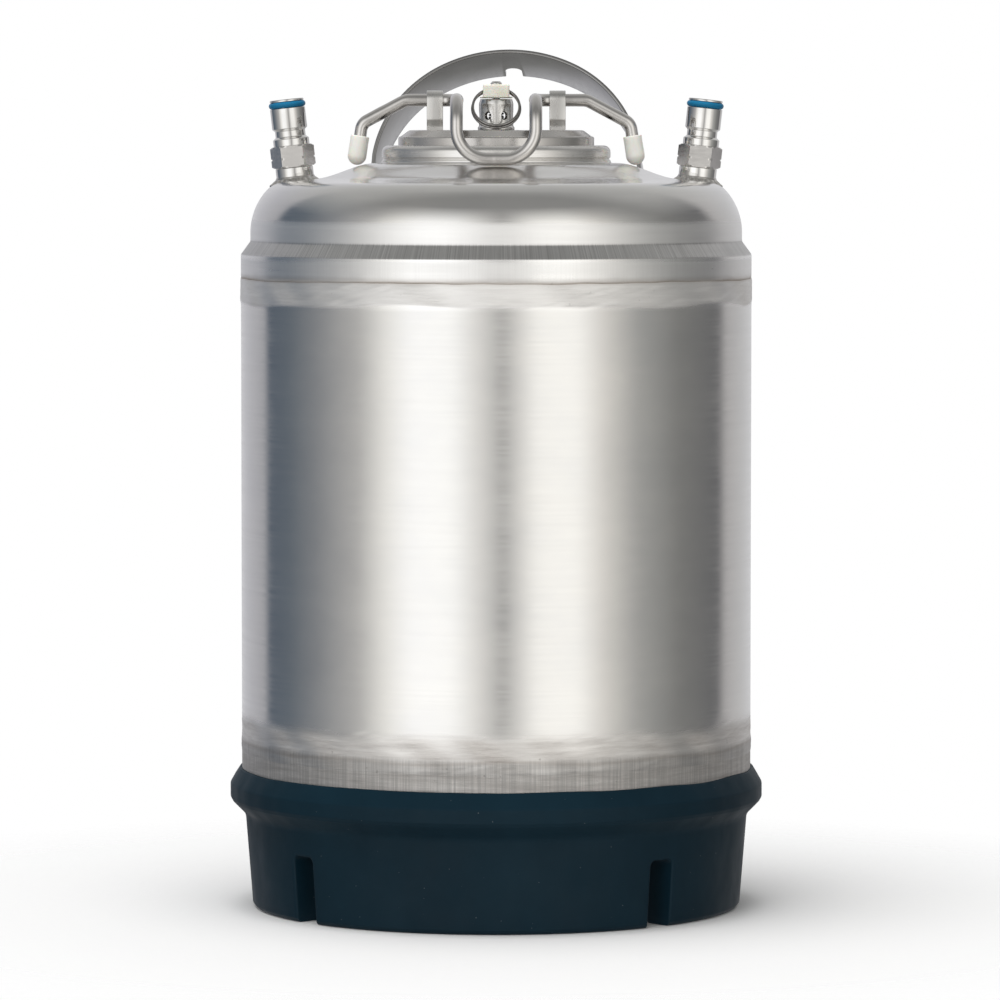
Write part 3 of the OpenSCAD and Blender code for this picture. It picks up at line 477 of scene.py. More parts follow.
vessel_steel = skin_steel()
# The strap's base colour is about half that of the other steels: painted shade for its dark, shaded face.
strap_steel = plain_metal("strap_steel", (0.385, 0.38, 0.375), 0.13, 0.22, (700, 90, 90), 0.004)
plain_steel = plain_metal("plain_steel", (0.70, 0.68, 0.65), 0.15, 0.28, depth=0.02)
post_steel = plain_metal("post_steel", (0.88, 0.87, 0.855), 0.035, 0.07, (120, 120, 500), 0.0004)
hex_steel = plain_metal("hex_steel", (0.90, 0.88, 0.86), 0.16, 0.26, (300, 300, 1200), 0.006)
lid_steel = plain_metal("lid_steel", (0.68, 0.66, 0.64), 0.22, 0.33, (90, 90, 90), 0.010)
clip_steel = plain_metal("clip_steel", (0.80, 0.79, 0.77), 0.24, 0.36, (900, 900, 60), 0.015)
valve_steel = plain_metal("valve_steel", (0.86, 0.85, 0.83), 0.16, 0.24, (120, 120, 1500), 0.006)
spring_steel = plain_metal("spring_steel", (0.40, 0.39, 0.38), 0.08, 0.16, depth=0.002)
bail_steel = plain_metal("bail_steel", (0.74, 0.72, 0.70), 0.17, 0.27, (120, 120, 120), 0.010)
base_rubber = rubber("base_rubber", (0.0012, 0.0128, 0.0225), (0.0028, 0.0185, 0.031), 0.55, 0.3)
seal_rubber = rubber("seal_rubber", (0.010, 0.010, 0.011), (0.016, 0.016, 0.018), 0.5, 0.1)
blue_rubber = rubber("blue_rubber", (0.008, 0.13, 0.27), (0.012, 0.17, 0.33), 0.36, 0.1)
cap_plastic = plastic("cap_plastic", (0.90, 0.89, 0.84), (0.86, 0.845, 0.78), 0.32)
knob_plastic = plastic("knob_plastic", (0.84, 0.82, 0.74), (0.77, 0.74, 0.64), 0.34)


# ---- Vessel ----
def upper_seam_wave(angle):
    """How far the upper seam strays from its height."""
    return 0.45 * ripple(angle, 3, 2, 9) + 0.12 * ripple(angle, 4, 14, 40)


def head_line(depth):
    """The top head from its seam up to its crown, moved inwards by a depth, as (radius, height)."""
    outside, neck = SHELL_RADIUS - depth, NECK_RADIUS - depth
    flare = section(
        (outside, 272, 0), (outside, FLARE_START, 1.6), (neck, FLARE_END, 1.6), (neck, 284.4, 0),
        closed=False, steps=6,
    )
    turn = math.radians(HEAD_CORNER_TURN)
    apart = SHOULDER_RADIUS - HEAD_CORNER_RADIUS
    corner_x, corner_z = SHOULDER_X + apart * math.cos(turn), SHOULDER_Z + apart * math.sin(turn)
    t = np.linspace(0, 1, 17)
    slope_x = SLOPE_RADIUS + (CROWN_RADIUS - SLOPE_RADIUS) * t
    slope_z = SLOPE_Z - depth + (CROWN_Z - SLOPE_Z) * smooth_step(t) + 2.08 * t * (1 - t) ** 2
    return (
        [(outside, z) for z in np.arange(UPPER_SEAM, 271.9, 0.5)]
        + [tuple(point) for point in evenly(flare, 0.7)]
        + arc(SHOULDER_X, SHOULDER_Z, SHOULDER_RADIUS - depth, 0, 40.5, 18)
        + arc(corner_x, corner_z, HEAD_CORNER_RADIUS - depth, 42.5, 85.2, 14)
        + list(zip(slope_x, slope_z))
    )


def oval(offset, angle):
    """Points on the hatch's outline, moved outwards, where its normal points at each angle."""
    across, along_y = np.cos(angle), np.sin(angle)
    end = np.abs(along_y) <= math.sin(math.radians(HATCH_END_TURN))
    end_radius, side_radius = HATCH_END_RADIUS + offset, HATCH_SIDE_RADIUS + offset
    x = np.where(end, HATCH_END_X * np.sign(across) + end_radius * across, side_radius * across)
    y = np.where(end, end_radius * along_y, side_radius * along_y - HATCH_SIDE_Y * np.sign(along_y))
    return x, y


def oval_row(offset, height, angle):
    x, y = oval(offset, angle)
    return np.stack([x, y, height + 0 * x], -1)


def round_row(radius, height, angle):
    return np.stack([radius * np.cos(angle), radius * np.sin(angle), height + 0 * angle], -1)


def make_shell():
    """The cylinder, with a smoothed bead and ground waves at each weld."""
    lower = np.arange(LOWER_SEAM, 84, 0.6)
    upper = np.arange(253, UPPER_SEAM + 0.1, 0.5)
    heights = np.concatenate([lower, np.arange(86, 252, 5), upper])
    outline = [(SHELL_RADIUS, z) for z in heights]
    outline += [(SHELL_RADIUS - WALL, z) for z in (UPPER_SEAM, LOWER_SEAM)]

    def relief(radius, z, angle):
        outer = radius > SHELL_RADIUS - WALL / 2
        near_top = smooth_step((z - 254 - 1.2 * ripple(angle, 11, 3, 14)) / 4) * smooth_step((266.4 - z) / 2)
        near_base = smooth_step((z - 65.5) / 2) * smooth_step((74 - z) / 4)
        bead = 0.24 * (near_top + near_base)
        ground = 0.10 * (near_top + smooth_step((86 - z) / 8)) * (
            ripple(angle + 0.02 * z, 21, 5, 40) + ripple(angle - 0.035 * z, 22, 20, 90)
        ) * (0.6 + 0.4 * np.sin(1.1 * z + 3 * ripple(angle, 23, 2, 8)))
        rolled = 0.035 * ripple(angle, 24, 3, 12) * np.sin(0.045 * z + 1)
        top = smooth_step((z - 262) / 4) * upper_seam_wave(angle)
        return radius + outer * (bead + ground + rolled), z + top

    piece = lathe("shell_skin", outline, vessel_steel, columns=384, relief=relief)

    def worn(angle, z, r):
        upper = smooth_step((z - 255.4 - 1.2 * ripple(angle, 11, 3, 14)) / 2.0)
        lower = smooth_step((84.5 + ripple(angle, 12, 3, 14) - z) / 7)
        return np.maximum(upper, lower) * (0.8 + 0.2 * ripple(angle + 0.01 * z, 13, 5, 30))

    def seam(angle, z, r):
        distance = z - 70.5 - 0.6 * ripple(angle, 14, 3, 12)
        return seam_tint(angle, z) + 0.35 * np.exp(-(distance / 0.7) ** 2)

    paint(piece, "worn", worn)
    paint(piece, "seam", seam)
    # Painted shade: the base colour darkens towards the bottom of the shell, below about 73 mm.
    paint(piece, "painted_shade_streaks", lambda angle, z, r: 0.72 * smooth_step((73.5 - z) / 3.5))
    paint(piece, "bright", lambda angle, z, r: 0.6 * smooth_step((z - 254) / 3))
    finish_piece(piece, "vessel", "satin_shell", "body_shell")


def seam_tint(angle, z):
    """The brown line of the upper weld, darker in some places than in others."""
    distance = z - UPPER_SEAM - upper_seam_wave(angle)
    return np.exp(-(distance / 0.55) ** 2) * (0.75 + 0.25 * ripple(angle, 5, 3, 20))


def make_top_head():
    """The domed head in one skin, from the seam up over the crown, round the hatch's rim and back inside."""
    angle = all_round(384)
    rows = []
    for radius, z in head_line(0):
        wave = upper_seam_wave(angle) * smooth_step((270 - z) / 4)
        ground = 0.05 * smooth_step((272 - z) / 5) * ripple(angle, 31, 10, 70)
        groove = 0.2 * math.exp(-((z - UPPER_SEAM) / 0.5) ** 2)
        rows.append(round_row(radius + ground - groove, z + wave, angle))
    rim = section(
        (3.0, CROWN_Z, 0), (0.2, CROWN_Z, 1.1), (0, 315.6, 0.2), (-0.75, 316.2, 0.3), (0, 317.0, 0.3),
        (0, 321.9, 3.4), (-5.3, 321.9, 1.4), (-5.3, CROWN_Z - WALL, 0), closed=False, steps=7,
    )
    rows += [oval_row(offset, z, angle) for offset, z in rim]
    rows += [round_row(radius, z, angle) for radius, z in reversed(head_line(WALL))]
    piece = grid("top_head_skin", rows, vessel_steel)

    def below_polish(z):
        return smooth_step((291.2 - z) / 1.3)

    def worn(angle, z, r):
        weld = 0.5 * smooth_step((276 - z) / 2) + 0.5 * smooth_step((267.5 - z) / 1.2)
        neck = 0.5 * below_polish(z) * smooth_step((z - 275) / 2)
        slope = 0.10 * smooth_step((z - 304) / 4)
        rim = 0.15 * smooth_step((50 - r) / 2) * smooth_step((z - 313) / 1)
        return weld * (0.85 + 0.15 * ripple(angle, 32, 4, 24)) + neck + slope + rim

    # Painted shade: a dark band over the flare stands in for a dark reflection, with a little darkening below
    # it.
    def painted_shade_streaks(angle, z, r):
        flare = 0.66 * smooth_step((z - 275.6) / 0.8) * smooth_step((282.4 - z) / 0.8)
        return flare + 0.07 * smooth_step((276 - z) / 1) + 0.05 * smooth_step((288 - z) / 3)

    paint(piece, "worn", worn)
    paint(piece, "bright", lambda angle, z, r: below_polish(z) * smooth_step((z - 267) / 2))
    paint(piece, "seam", lambda angle, z, r: seam_tint(angle, z))
    paint(piece, "painted_shade_streaks", painted_shade_streaks)
    finish_piece(piece, "vessel", "polished_head", "top_head")


def make_bottom_head():
    """The dished bottom: a knuckle that runs into a shallow ball."""
    dish_centre = KNUCKLE_Z + math.sqrt((DISH_RADIUS - KNUCKLE_RADIUS) ** 2 - KNUCKLE_X ** 2)
    edge = math.degrees(math.atan2(dish_centre - KNUCKLE_Z, KNUCKLE_X))

    def line(depth):
        return (
            [(SHELL_RADIUS - depth, LOWER_SEAM), (SHELL_RADIUS - depth, 60)]
            + arc(KNUCKLE_X, KNUCKLE_Z, KNUCKLE_RADIUS - depth, 0, -edge, 14)
            + arc(0, dish_centre, DISH_RADIUS - depth, -edge - 1, -90, 16)
        )

    piece = lathe("bottom_head_skin", line(0) + line(WALL)[::-1], vessel_steel, columns=256)
    paint(piece, "worn", lambda angle, z, r: 0.9 * smooth_step((z - 50) / 6) + 0.25)
    paint(piece, "seam", lambda angle, z, r: 0.25 * np.exp(-((z - 62.5) / 0.8) ** 2))
    # Painted shade: the base colour of the bottom head darkens above about 48 mm, where it shows over the
    # base.
    paint(piece, "painted_shade_streaks", lambda angle, z, r: 0.78 * smooth_step((z - 48) / 6))
    finish_piece(piece, "vessel", "satin_shell", "bottom_head")


def boot_radius(z):
    """The outside radius of the base below its bulge."""
    (low_radius, low), (high_radius, high) = BOOT_LOW, BOOT_HIGH
    return low_radius + (high_radius - low_radius) * (z - low) / (high - low)


def slot_cutter(angle):
    """A slot's shape with a rounded mouth, cut through the base wall at an angle from the front."""
    half = SLOT_WIDTH / 2
    outline = evenly(section(
        (half, -3, 0), (half, SLOT_TOP, 2.5), (-half, SLOT_TOP, 2.5), (-half, -3, 0), closed=False, steps=8,
    ), 2.0)
    mouth = [
        (-SLOT_MOUTH + SLOT_MOUTH * math.sin(a), SLOT_MOUTH * (1 - math.cos(a)))
        for a in np.linspace(0, RIGHT_ANGLE * 0.9, 5)
    ]
    outward = normals(outline)
    rows = []
    for depth, growth in [(-24, 0.0)] + mouth + [(3, 1.6)]:
        x, z = (outline + outward * growth).T
        surface = np.sqrt(boot_radius(np.clip(z, 0, 40)) ** 2 - x ** 2)
        rows.append(np.stack([x, -(surface + depth), z], -1))
    return grid("slot_cutter", rows, base_rubber, capped=True,
                place=Matrix.Rotation(math.radians(angle), 4, "Z"))


def make_boot():
    """The rubber base: rounded bulge, thin uneven lip, and four slots with soft edges."""
    inner = arc(KNUCKLE_X, KNUCKLE_Z, KNUCKLE_RADIUS + 0.1, 0, -63, 12)
    outside = section(
        (89.5, 0, 1.0), (102.3, 0, 0.9), (BOOT_LOW[0], 1.6, 0.9), (*BOOT_HIGH, 5.0), (112.1, 45.0, 1.2),
        (113, 46.6, 1.6), (113, 52.2, 2.2), (109.2, 58.9, 0.7), (108.1, 59.2, 0.3),
    )
    outline = list(evenly(outside, 4.0)) + inner + [(88, 28.2), (88.2, 27.5)]

    def relief(radius, z, angle):
        bulge = smooth_step((z - 41) / 6) * (radius > 107)
        uneven = 0.14 * (ripple(angle, 41, 3, 12) - 1) + 0.05 * ripple(angle, 42, 20, 60)
        lip = smooth_step((z - 57) / 1.5) * (0.25 * ripple(angle, 43, 4, 18) - 0.3)
        return radius + bulge * uneven, z + lip

    piece = lathe("rubber_boot", outline, base_rubber, columns=320, relief=relief)
    for angle in SLOT_ANGLES:
        carve(piece, slot_cutter(angle))
    finish_piece(piece, "vessel", "base_rubber", "rubber_base")


def make_strap():
    """The carrying handle: a flat strap bent to an arch, with a notch in its rear edge and welded feet."""
    turn = Matrix.Rotation(math.radians(STRAP_TURN), 4, "Z")
    lean = math.radians(STRAP_LEAN)
    lift = Matrix.Translation((
        0, STRAP_Y - STRAP_RISE * math.sin(lean), STRAP_TOP - STRAP_RISE * math.cos(lean),
    ))
    place = turn @ lift @ Matrix.Rotation(RIGHT_ANGLE - lean, 4, "X")
    arch_radius, shoulder_radius, shoulder_x = 64, 54, 4.4
    arch_y, apart = STRAP_RISE - arch_radius, arch_radius - shoulder_radius
    arch = math.degrees(math.asin(shoulder_x / apart))
    shoulder_y = arch_y + apart * math.cos(math.radians(arch))
    top = arc(0, arch_y, arch_radius, 90, 90 - arch, 16)
    shoulder = arc(shoulder_x, shoulder_y, shoulder_radius, 90 - arch, 0, 34)[1:]
    leg = [(shoulder_x + shoulder_radius, u) for u in np.linspace(shoulder_y, -1.0, 8)][1:]
    half = np.array(top + shoulder + leg)
    line = np.vstack([half[::-1], half[1:] * (-1, 1)])
    rows = strip(line, -STRAP_THICKNESS, STRAP_WIDTH, 0.45)
    to_world = np.array(place)
    left_foot, right_foot = cope(rows[0], to_world), cope(rows[-1], to_world)
    rows = rows[rows[:, :, 1].min(axis=1) > 11.5]
    rows = np.concatenate([
        [left_foot + (rows[0] - left_foot) * part for part in (0, 0.33, 0.67)], rows,
        [right_foot + (rows[-1] - right_foot) * part for part in (0.67, 0.33, 0)],
    ])
    piece = grid("strap_handle_look", rows, strap_steel, capped=True, place=place)
    rear, inner = -STRAP_WIDTH, NOTCH_DEPTH - STRAP_WIDTH
    side = [(9, rear - 6, 0), (5.4, rear - 1.2, 0), (NOTCH_HALF, rear + 0.8, 1.6), (NOTCH_HALF, inner, 3.5)]
    notch = section(*[(-x, z, radius) for x, z, radius in side], *side[::-1], closed=False, steps=8)
    cutter = [np.stack([notch[:, 0], 0 * notch[:, 0] + u, notch[:, 1]], -1) for u in (50, 66)]
    carve(piece, grid("notch_cutter", cutter, strap_steel, capped=True, place=place))
    finish_piece(piece, "vessel", "strap_steel", "strap_handle")
    for name, row in (("left", rows[-1]), ("right", rows[0])):
        foot = row @ to_world[:3, :3].T + to_world[:3, 3]
        make_strap_weld(f"strap_weld_{name}", foot)


def crown_height(radius):
    """The height of the outside of the top head at each radius."""
    line = np.array(head_line(0))
    line = line[np.argsort(line[:, 0])]
    return np.interp(radius, line[:, 0], line[:, 1])


def cope(points, to_world):
    """Moves points along the strap's legs until they lie just under the head's skin."""
    points = points.copy()
    low, high = np.full(len(points), -12.0), np.full(len(points), 16.0)
    for _ in range(30):
        middle = (low + high) / 2
        points[:, 1] = middle
        world = points @ to_world[:3, :3].T + to_world[:3, 3]
        above = world[:, 2] > crown_height(np.hypot(world[:, 0], world[:, 1])) - 0.5
        high, low = np.where(above, middle, high), np.where(above, low, middle)
    return points


def make_strap_weld(name, foot):
    """A rippled bead of weld round the foot of one leg."""
    centre = foot.mean(0)
    line = evenly(np.vstack([foot, foot[:1]]), 1.5)[:-1]
    line = centre + (line - centre) * 1.01
    line[:, 2] = crown_height(np.hypot(line[:, 0], line[:, 1])) + 0.1
    beads = 0.95 + 0.16 * np.sin(np.arange(len(line)) * 2.1)
    piece = tube(name, line, beads, plain_steel, columns=12, closed=True)
    finish_piece(piece, "vessel", "plain_steel")


# ---- Posts ----
def post_place(side):
    tilt = Matrix.Rotation(side * math.radians(POST_TILT), 4, "Y")
    return Matrix.Translation((side * POST_X, 0, POST_Z)) @ tilt


def make_port(side, name):
    """The threaded port and the rippled weld that holds it to the head."""
    outline = section(
        (4.3, -6, 0.2), (7, -6, 0.2), (7, -3.6, 0), (10.9, -3.6, 0.3), (10.9, -2.0, 0.5), (9.7, -1.3, 1.5),
        (8.4, 0.1, 1.0), (8.1, 0.95, 0.3), (7, 0.95, 0), (7, 10.3, 0.3), (4.3, 10.3, 0.2),
    )

    def relief(radius, z, angle):
        bead = smooth_step((radius - 8.2) / 1.2)
        ripples, strays = 22 * angle, 0.9 * np.sin(3 * angle + side)
        return radius + bead * 0.30 * np.sin(ripples + strays), z + bead * 0.2 * np.sin(ripples)

    place = post_place(side)
    piece = lathe(f"{name}_port_weld", outline, plain_steel, columns=216, place=place, relief=relief)
    finish_piece(piece, "vessel", "plain_steel", f"{name}_port")


def hexagon(angle):
    """How far a hexagon's face is from its middle at each angle, with a flat to the front."""
    return HEX_APOTHEM / np.cos(np.mod(angle, FULL_TURN / 6) - FULL_TURN / 12)


def make_post(side, name):
    """The quick-connect post in two finishes: polished turned parts and a satin hex."""
    place = post_place(side)
    corner = HEX_APOTHEM / math.cos(math.radians(30))
    hex_outline = section(
        (7.9, 4.9, 0), (8.4, 4.9, 0), (corner, 5.5, 0.2), (corner, 8.15, 0.1), (corner - 0.5, 8.6, 0.1),
        (corner, 9.05, 0.1), (corner, 13.3, 0.2), (8.3, 13.95, 0), (7.2, 13.95, 0), (7.2, 4.9, 0), steps=3,
    )

    def flats(radius, z, angle):
        return np.where(radius > 7.6, np.minimum(radius, hexagon(angle)), radius), z

    band = lathe(f"{name}_post_hex", hex_outline, hex_steel, columns=192, place=place, relief=flats)
    finish_piece(band, "vessel", "post_steel")
    outline = section(
        (7.1, 0.7, 0.1), (7.95, 0.7, 0.35), (7.95, 4.5, 0.3), (7.6, 5.0, 0), (7.4, 5.2, 0), (7.4, 13.6, 0),
        (7.65, 14.1, 0.3), (7.65, 16.8, 0.4), (6.4, 17.8, 0.5), (6.4, 20.3, 0.5), (7.45, 21.3, 0.3),
        (7.45, 29.9, 0.3), (5, 29.95, 0), (5, 32.5, 0), (7.2, 32.6, 0.2), (7.2, 33.6, 0.45), (3.6, 33.6, 0.5),
        (2.9, 33.2, 0.3), (2.9, 30.2, 0), (4.4, 28.5, 0), (4.4, 12.8, 0), (7.1, 12.8, 0), steps=4,
    )
    piece = lathe(f"{name}_post_look", outline, post_steel, columns=160, place=place)
    finish_piece(piece, "vessel", "post_steel", f"{name}_post")
    seal = [(6.6 + 1.22 * math.cos(a), 31.25 + 1.3 * math.sin(a)) for a in all_round(24)]

    def seated(radius, z, angle):
        outward, upward = 0.04 * ripple(angle, 51 + side, 2, 8), 0.06 * ripple(angle, 55 + side, 2, 7)
        return np.minimum(radius, 7.85) + outward, z + upward

    ring = lathe(f"{name}_o_ring_look", seal, blue_rubber, columns=128, place=place, relief=seated)
    finish_piece(ring, "vessel", "blue_rubber", f"{name}_post_o_ring")
    spring = tube(f"{name}_poppet_coil", coil(3.7, 13.1, 26.9, 6), 0.3, spring_steel, columns=12)
    spring.data.transform(shift(place))
    node = f"{name}_poppet_spring"
    finish_spring(spring, "vessel", node)


def shift(place):
    """A placing in millimetres as one in metres."""
    moved = place.copy()
    moved.translation = place.translation * MM
    return moved


def coil(radius, low, high, turns):
    """A helix about Z with its two ends closed up flat."""
    t = np.linspace(0, 1, turns * 32 + 1)
    angle = t * (turns + 1.5) * FULL_TURN
    rise = low + (high - low) * np.clip((t - 0.09) / 0.82, 0, 1)
    return np.stack([radius * np.cos(angle), radius * np.sin(angle), rise], -1)


def finish_spring(piece, body, node):
    """Rides a spring on its fixed end and gives it a mesh of its own."""
    finish_piece(piece, body, "spring_steel", node)
    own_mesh(piece)


# ---- Lid ----
def make_lid():
    """The pressed lid in one skin: flange, wall, small step, sloping edge, flat top and threaded boss."""
    angle = all_round(320)
    edge = section(
        (-6.9, 306.7, 0), (-6.9, 325.45, 0.9), (-8.0, 325.75, 0.7), (-11.5, 328.3, 2.4), (-16, LID_TOP, 0),
        closed=False,
    )
    rows = [oval_row(offset, z, angle) for offset, z in edge]
    boss = ((5, LID_TOP), (5, 320), (8.4, 320), (8.5, 320.1), (8.5, 326.6))
    rows += [round_row(radius, z, angle) for radius, z in boss]
    inside = (
        (-14, 326.6), (-12, 326.5), (-8.7, 324.2), (-8.7, 304.9),
        (1.5, 304.9), (1.7, 305.1), (1.7, 306.5), (1.5, 306.7),
    )
    rows += [oval_row(offset, z, angle) for offset, z in inside]
    piece = grid("lid_look", rows, lid_steel)
    finish_piece(piece, "lid", "lid_steel", "lid_plate")


def make_gasket():
    """The round seal under the lid's flange."""
    angle = all_round(192)
    rows = [
        oval_row(-3.7 + 3.1 * math.cos(turn), 309.8 + 3.1 * math.sin(turn), angle)
        for turn in all_round(20)
    ]
    piece = grid("gasket_look", rows, seal_rubber)
    finish_piece(piece, "lid", "seal_rubber", "lid_gasket")


def make_clip(side, name):
    """One bail clip: a strip bent over the rod, tucked in at its waist, with two foot tabs."""
    right = list(section(
        (6.0, 329.05, 0), (1.75, 329.05, 0.9), (CLIP_RADIUS, 333.0, 1.6), (CLIP_RADIUS, PIVOT_Z, 0),
        closed=False, steps=6,
    ))
    over_rod = arc(0, PIVOT_Z, CLIP_RADIUS, 0, 180, 28)[1:-1]
    left = [(-y, z) for y, z in reversed(right)]
    line = evenly(np.array(right + over_rod + left), 1.2)
    rows = strip(line, CLIP_THICKNESS, CLIP_WIDTH, 0.22)
    rows[..., :2] -= CLIP_THICKNESS / 2 * normals(line)[:, None, :]
    right_end = side * CLIP_X + CLIP_WIDTH / 2
    place = Matrix(((0, 0, 1, right_end), (1, 0, 0, 0), (0, 1, 0, 0), (0, 0, 0, 1)))
    piece = grid(f"{name}_clip_look", rows, clip_steel, capped=True, place=place)
    finish_piece(piece, "lid", "clip_steel", f"{name}_bail_clip")


def make_valve_body():
    """The relief valve's barrel, with six vents drilled into its hollow."""
    outline = section(
        (2.6, 317, 0.2), (5, 317, 0.4), (5, LID_TOP + 0.02, 0), (7.8, LID_TOP + 0.02, 0.3),
        (7.8, 329.5, 0.5), (7.3, 330.1, 0.4), (7.3, 339.4, 0.8), (6.75, VALVE_TOP, 0.35),
        (1.75, VALVE_TOP, 0.1), (1.75, 340.1, 0), (5.2, 340.1, 0.3), (5.2, 330.4, 0), (2.6, 330.4, 0.2),
        steps=4,
    )
    piece = lathe("valve_body_look", outline, valve_steel, columns=144)
    for index in range(6):
        turn = Matrix.Rotation((index + 0.5) * FULL_TURN / 6 - RIGHT_ANGLE, 4, "Z")
        place = Matrix.Translation((0, 0, 334.5)) @ turn @ Matrix.Rotation(RIGHT_ANGLE, 4, "Y")
        mouth = [(0, 4.0), (1.5, 4.0), (1.5, 6.7), (1.62, 7.0), (1.85, 7.3), (2.3, 7.8), (0, 7.8)]
        carve(piece, lathe("vent_cutter", mouth, valve_steel, columns=32, joined=False, place=place))
    finish_piece(piece, "lid", "valve_steel", "relief_valve_body")
    spring = tube("relief_coil", coil(2.9, 333.7, 339.7, 5), 0.4, spring_steel, columns=12)
    finish_spring(spring, "lid", "relief_spring")


def rounded_block(name, x, front, back, low, high, corner, edge, material):
    """An upright block with rounded corners and a rounded top edge."""
    def outline(inset):
        return section(
            (x - inset, front + inset, corner), (x - inset, back - inset, corner),
            (-x + inset, back - inset, corner), (-x + inset, front + inset, corner),
        )

    sides = [(0.25, low), (0, low + 0.25)] + [
        (edge * (1 - math.cos(a)), high - edge * (1 - math.sin(a))) for a in np.linspace(0, RIGHT_ANGLE, 6)
    ]
    rows = [np.column_stack([outline(inset), np.full(len(outline(0)), z)]) for inset, z in sides]
    return grid(name, rows, material, capped=True)


def make_knob():
    """The ivory knob: a moulded block on a thin round flange, with a hole for the pull ring."""
    knob = rounded_block("knob_look", 5.6, -8.3, 5.5, 342.1, 347.6, 0.9, 0.55, knob_plastic)
    flange = section((1.65, 341.8, 0), (6.9, 341.8, 0.2), (6.9, 342.5, 0.25), (1.65, 342.5, 0), steps=3)
    carve(knob, lathe("flange_cutter", flange, knob_plastic, columns=96), "UNION")
    bore = [(0, 341), (1.62, 341), (1.62, 350), (0, 350)]
    carve(knob, lathe("bore_cutter", bore, knob_plastic, columns=48, joined=False))
    across = Matrix.Translation((0, RING_HOLE_Y, RING_HOLE_Z)) @ Matrix.Rotation(RIGHT_ANGLE, 4, "Y")
    hole = [(0, -9), (2.9, -6.2), (2.25, -5.4), (2.1, -4.8), (2.1, 4.8), (2.25, 5.4), (2.9, 6.2), (0, 9)]
    carve(knob, lathe("hole_cutter", hole, knob_plastic, columns=48, joined=False, place=across))
    finish_piece(knob, "relief_stem", "knob_plastic", "relief_knob")


def make_stem():
    """The stem, with its seal disc below and its riveted head on the knob."""
    outline = section(
        (0, 332.1, 0), (4.4, 332.1, 0.2), (4.4, 333.3, 0.2), (1.6, 333.3, 0.1), (1.6, 347.65, 0),
        (2.45, 347.65, 0.2), (2.45, 348.1, 0.6), (1.7, 349.0, 0.5), (0.9, 349.0, 0.15), (0.7, 348.6, 0.1),
        (0, 348.6, 0), closed=False, steps=4,
    )
    piece = lathe("stem_look", outline, post_steel, columns=72, joined=False)
    finish_piece(piece, "relief_stem", "valve_steel", "relief_stem")


def make_ring():
    """The pull ring: two turns of wire side by side, joined by one short crossing, with cut ends."""
    turn = np.linspace(0, 2 * FULL_TURN - 0.12, 360)
    crossing = smooth_step((turn - FULL_TURN + 0.75) / 0.75)
    angle = turn + math.radians(168)
    radius = RING_RADIUS - 0.45 * crossing * (1 - np.sin(angle)) / 2
    line = np.stack([radius * np.cos(angle), radius * np.sin(angle), 1.12 * (crossing - 0.5)], -1)
    lean = Matrix.Rotation(math.radians(RING_LEAN), 4, "X")
    place = (
        Matrix.Translation((0, RING_HOLE_Y, RING_HOLE_Z)) @ lean
        @ Matrix.Translation((0, 0, -9.1)) @ Matrix.Rotation(RIGHT_ANGLE, 4, "X")
    )
    piece = tube("pull_ring_look", line, RING_WIRE, spring_steel, columns=16)
    piece.data.transform(shift(place))
    finish_piece(piece, "pull_ring", "spring_steel", "pull_ring")


# ---- Bail ----
def wing_points():
    """The corners of a wing's two bends, its foot's end and the foot's direction, in X and Z."""
    slope, foot = math.radians(WING_SLOPE), math.radians(FOOT_SLOPE)
    wing_reach, foot_reach = WING_BEND * math.tan(slope / 2), FOOT_BEND * math.tan((foot - slope) / 2)
    along_wing, down_foot = (np.array([math.cos(a), -math.sin(a)]) for a in (slope, foot))
    first = np.array([36.5 + wing_reach, PIVOT_Z])
    second = first + along_wing * (wing_reach + WING_LENGTH + foot_reach)
    end = second + down_foot * (foot_reach + FOOT_LENGTH)
    return first, second, end, down_foot


def make_bail():
    """The wire bail: a U in front, elbows beside the clips, and two wings ending in feet."""
    first, second, end, down_foot = wing_points()
    right = [((BAIL_X, BAIL_Y, 316.5), 12.4), ((BAIL_X, BAIL_Y, PIVOT_Z), 11.8), ((BAIL_X, 0, PIVOT_Z), 6)]
    right += [((x, 0, z), radius) for (x, z), radius in ((first, WING_BEND), (second, FOOT_BEND), (end, 0))]
    left = [((-x, y, z), radius) for (x, y, z), radius in reversed(right)]
    line = evenly(turned(left + right, steps=12), 1.0)
    step = np.linalg.norm(np.diff(line, axis=0), axis=1)
    place = np.concatenate([[0], np.cumsum(step)])
    place -= place[-1] / 2
    weld = 0.10 * np.exp(-(place / 0.55) ** 2)
    tooling = 0.035 * (ripple(place / 9, 61, 1, 9) - 1)
    piece = tube("bail_look", line, ROD_RADIUS + weld + tooling, bail_steel, columns=40)
    finish_piece(piece, "bail", "bail_steel", "bail_handle")
    for side, name in ((-1, "left"), (1, "right")):
        make_cap(name, (side * end[0], 0, end[1]), (side * down_foot[0], 0, down_foot[1]))


def make_cap(name, foot, direction):
    """A moulded cap with a rolled mouth, pushed onto the foot of a wing."""
    outline = section(
        (2.75, -6.9, 0.15), (3.95, -6.9, 0.45), (3.88, -4.0, 3), (3.95, 0.6, 2), (3.98, 1.5, 0),
        closed=False, steps=4,
    )
    dome = [(3.98 * math.cos(a), 1.5 + 3.98 * math.sin(a)) for a in np.linspace(0, RIGHT_ANGLE, 14)][1:]
    outline = list(outline) + dome + [(0, 0.3), (2.6, 0.25), (2.75, 0.0)]
    piece = lathe(f"{name}_cap_look", outline, cap_plastic, columns=72, place=along(foot, direction))
    finish_piece(piece, "bail", "cap_plastic", f"{name}_foot_cap")


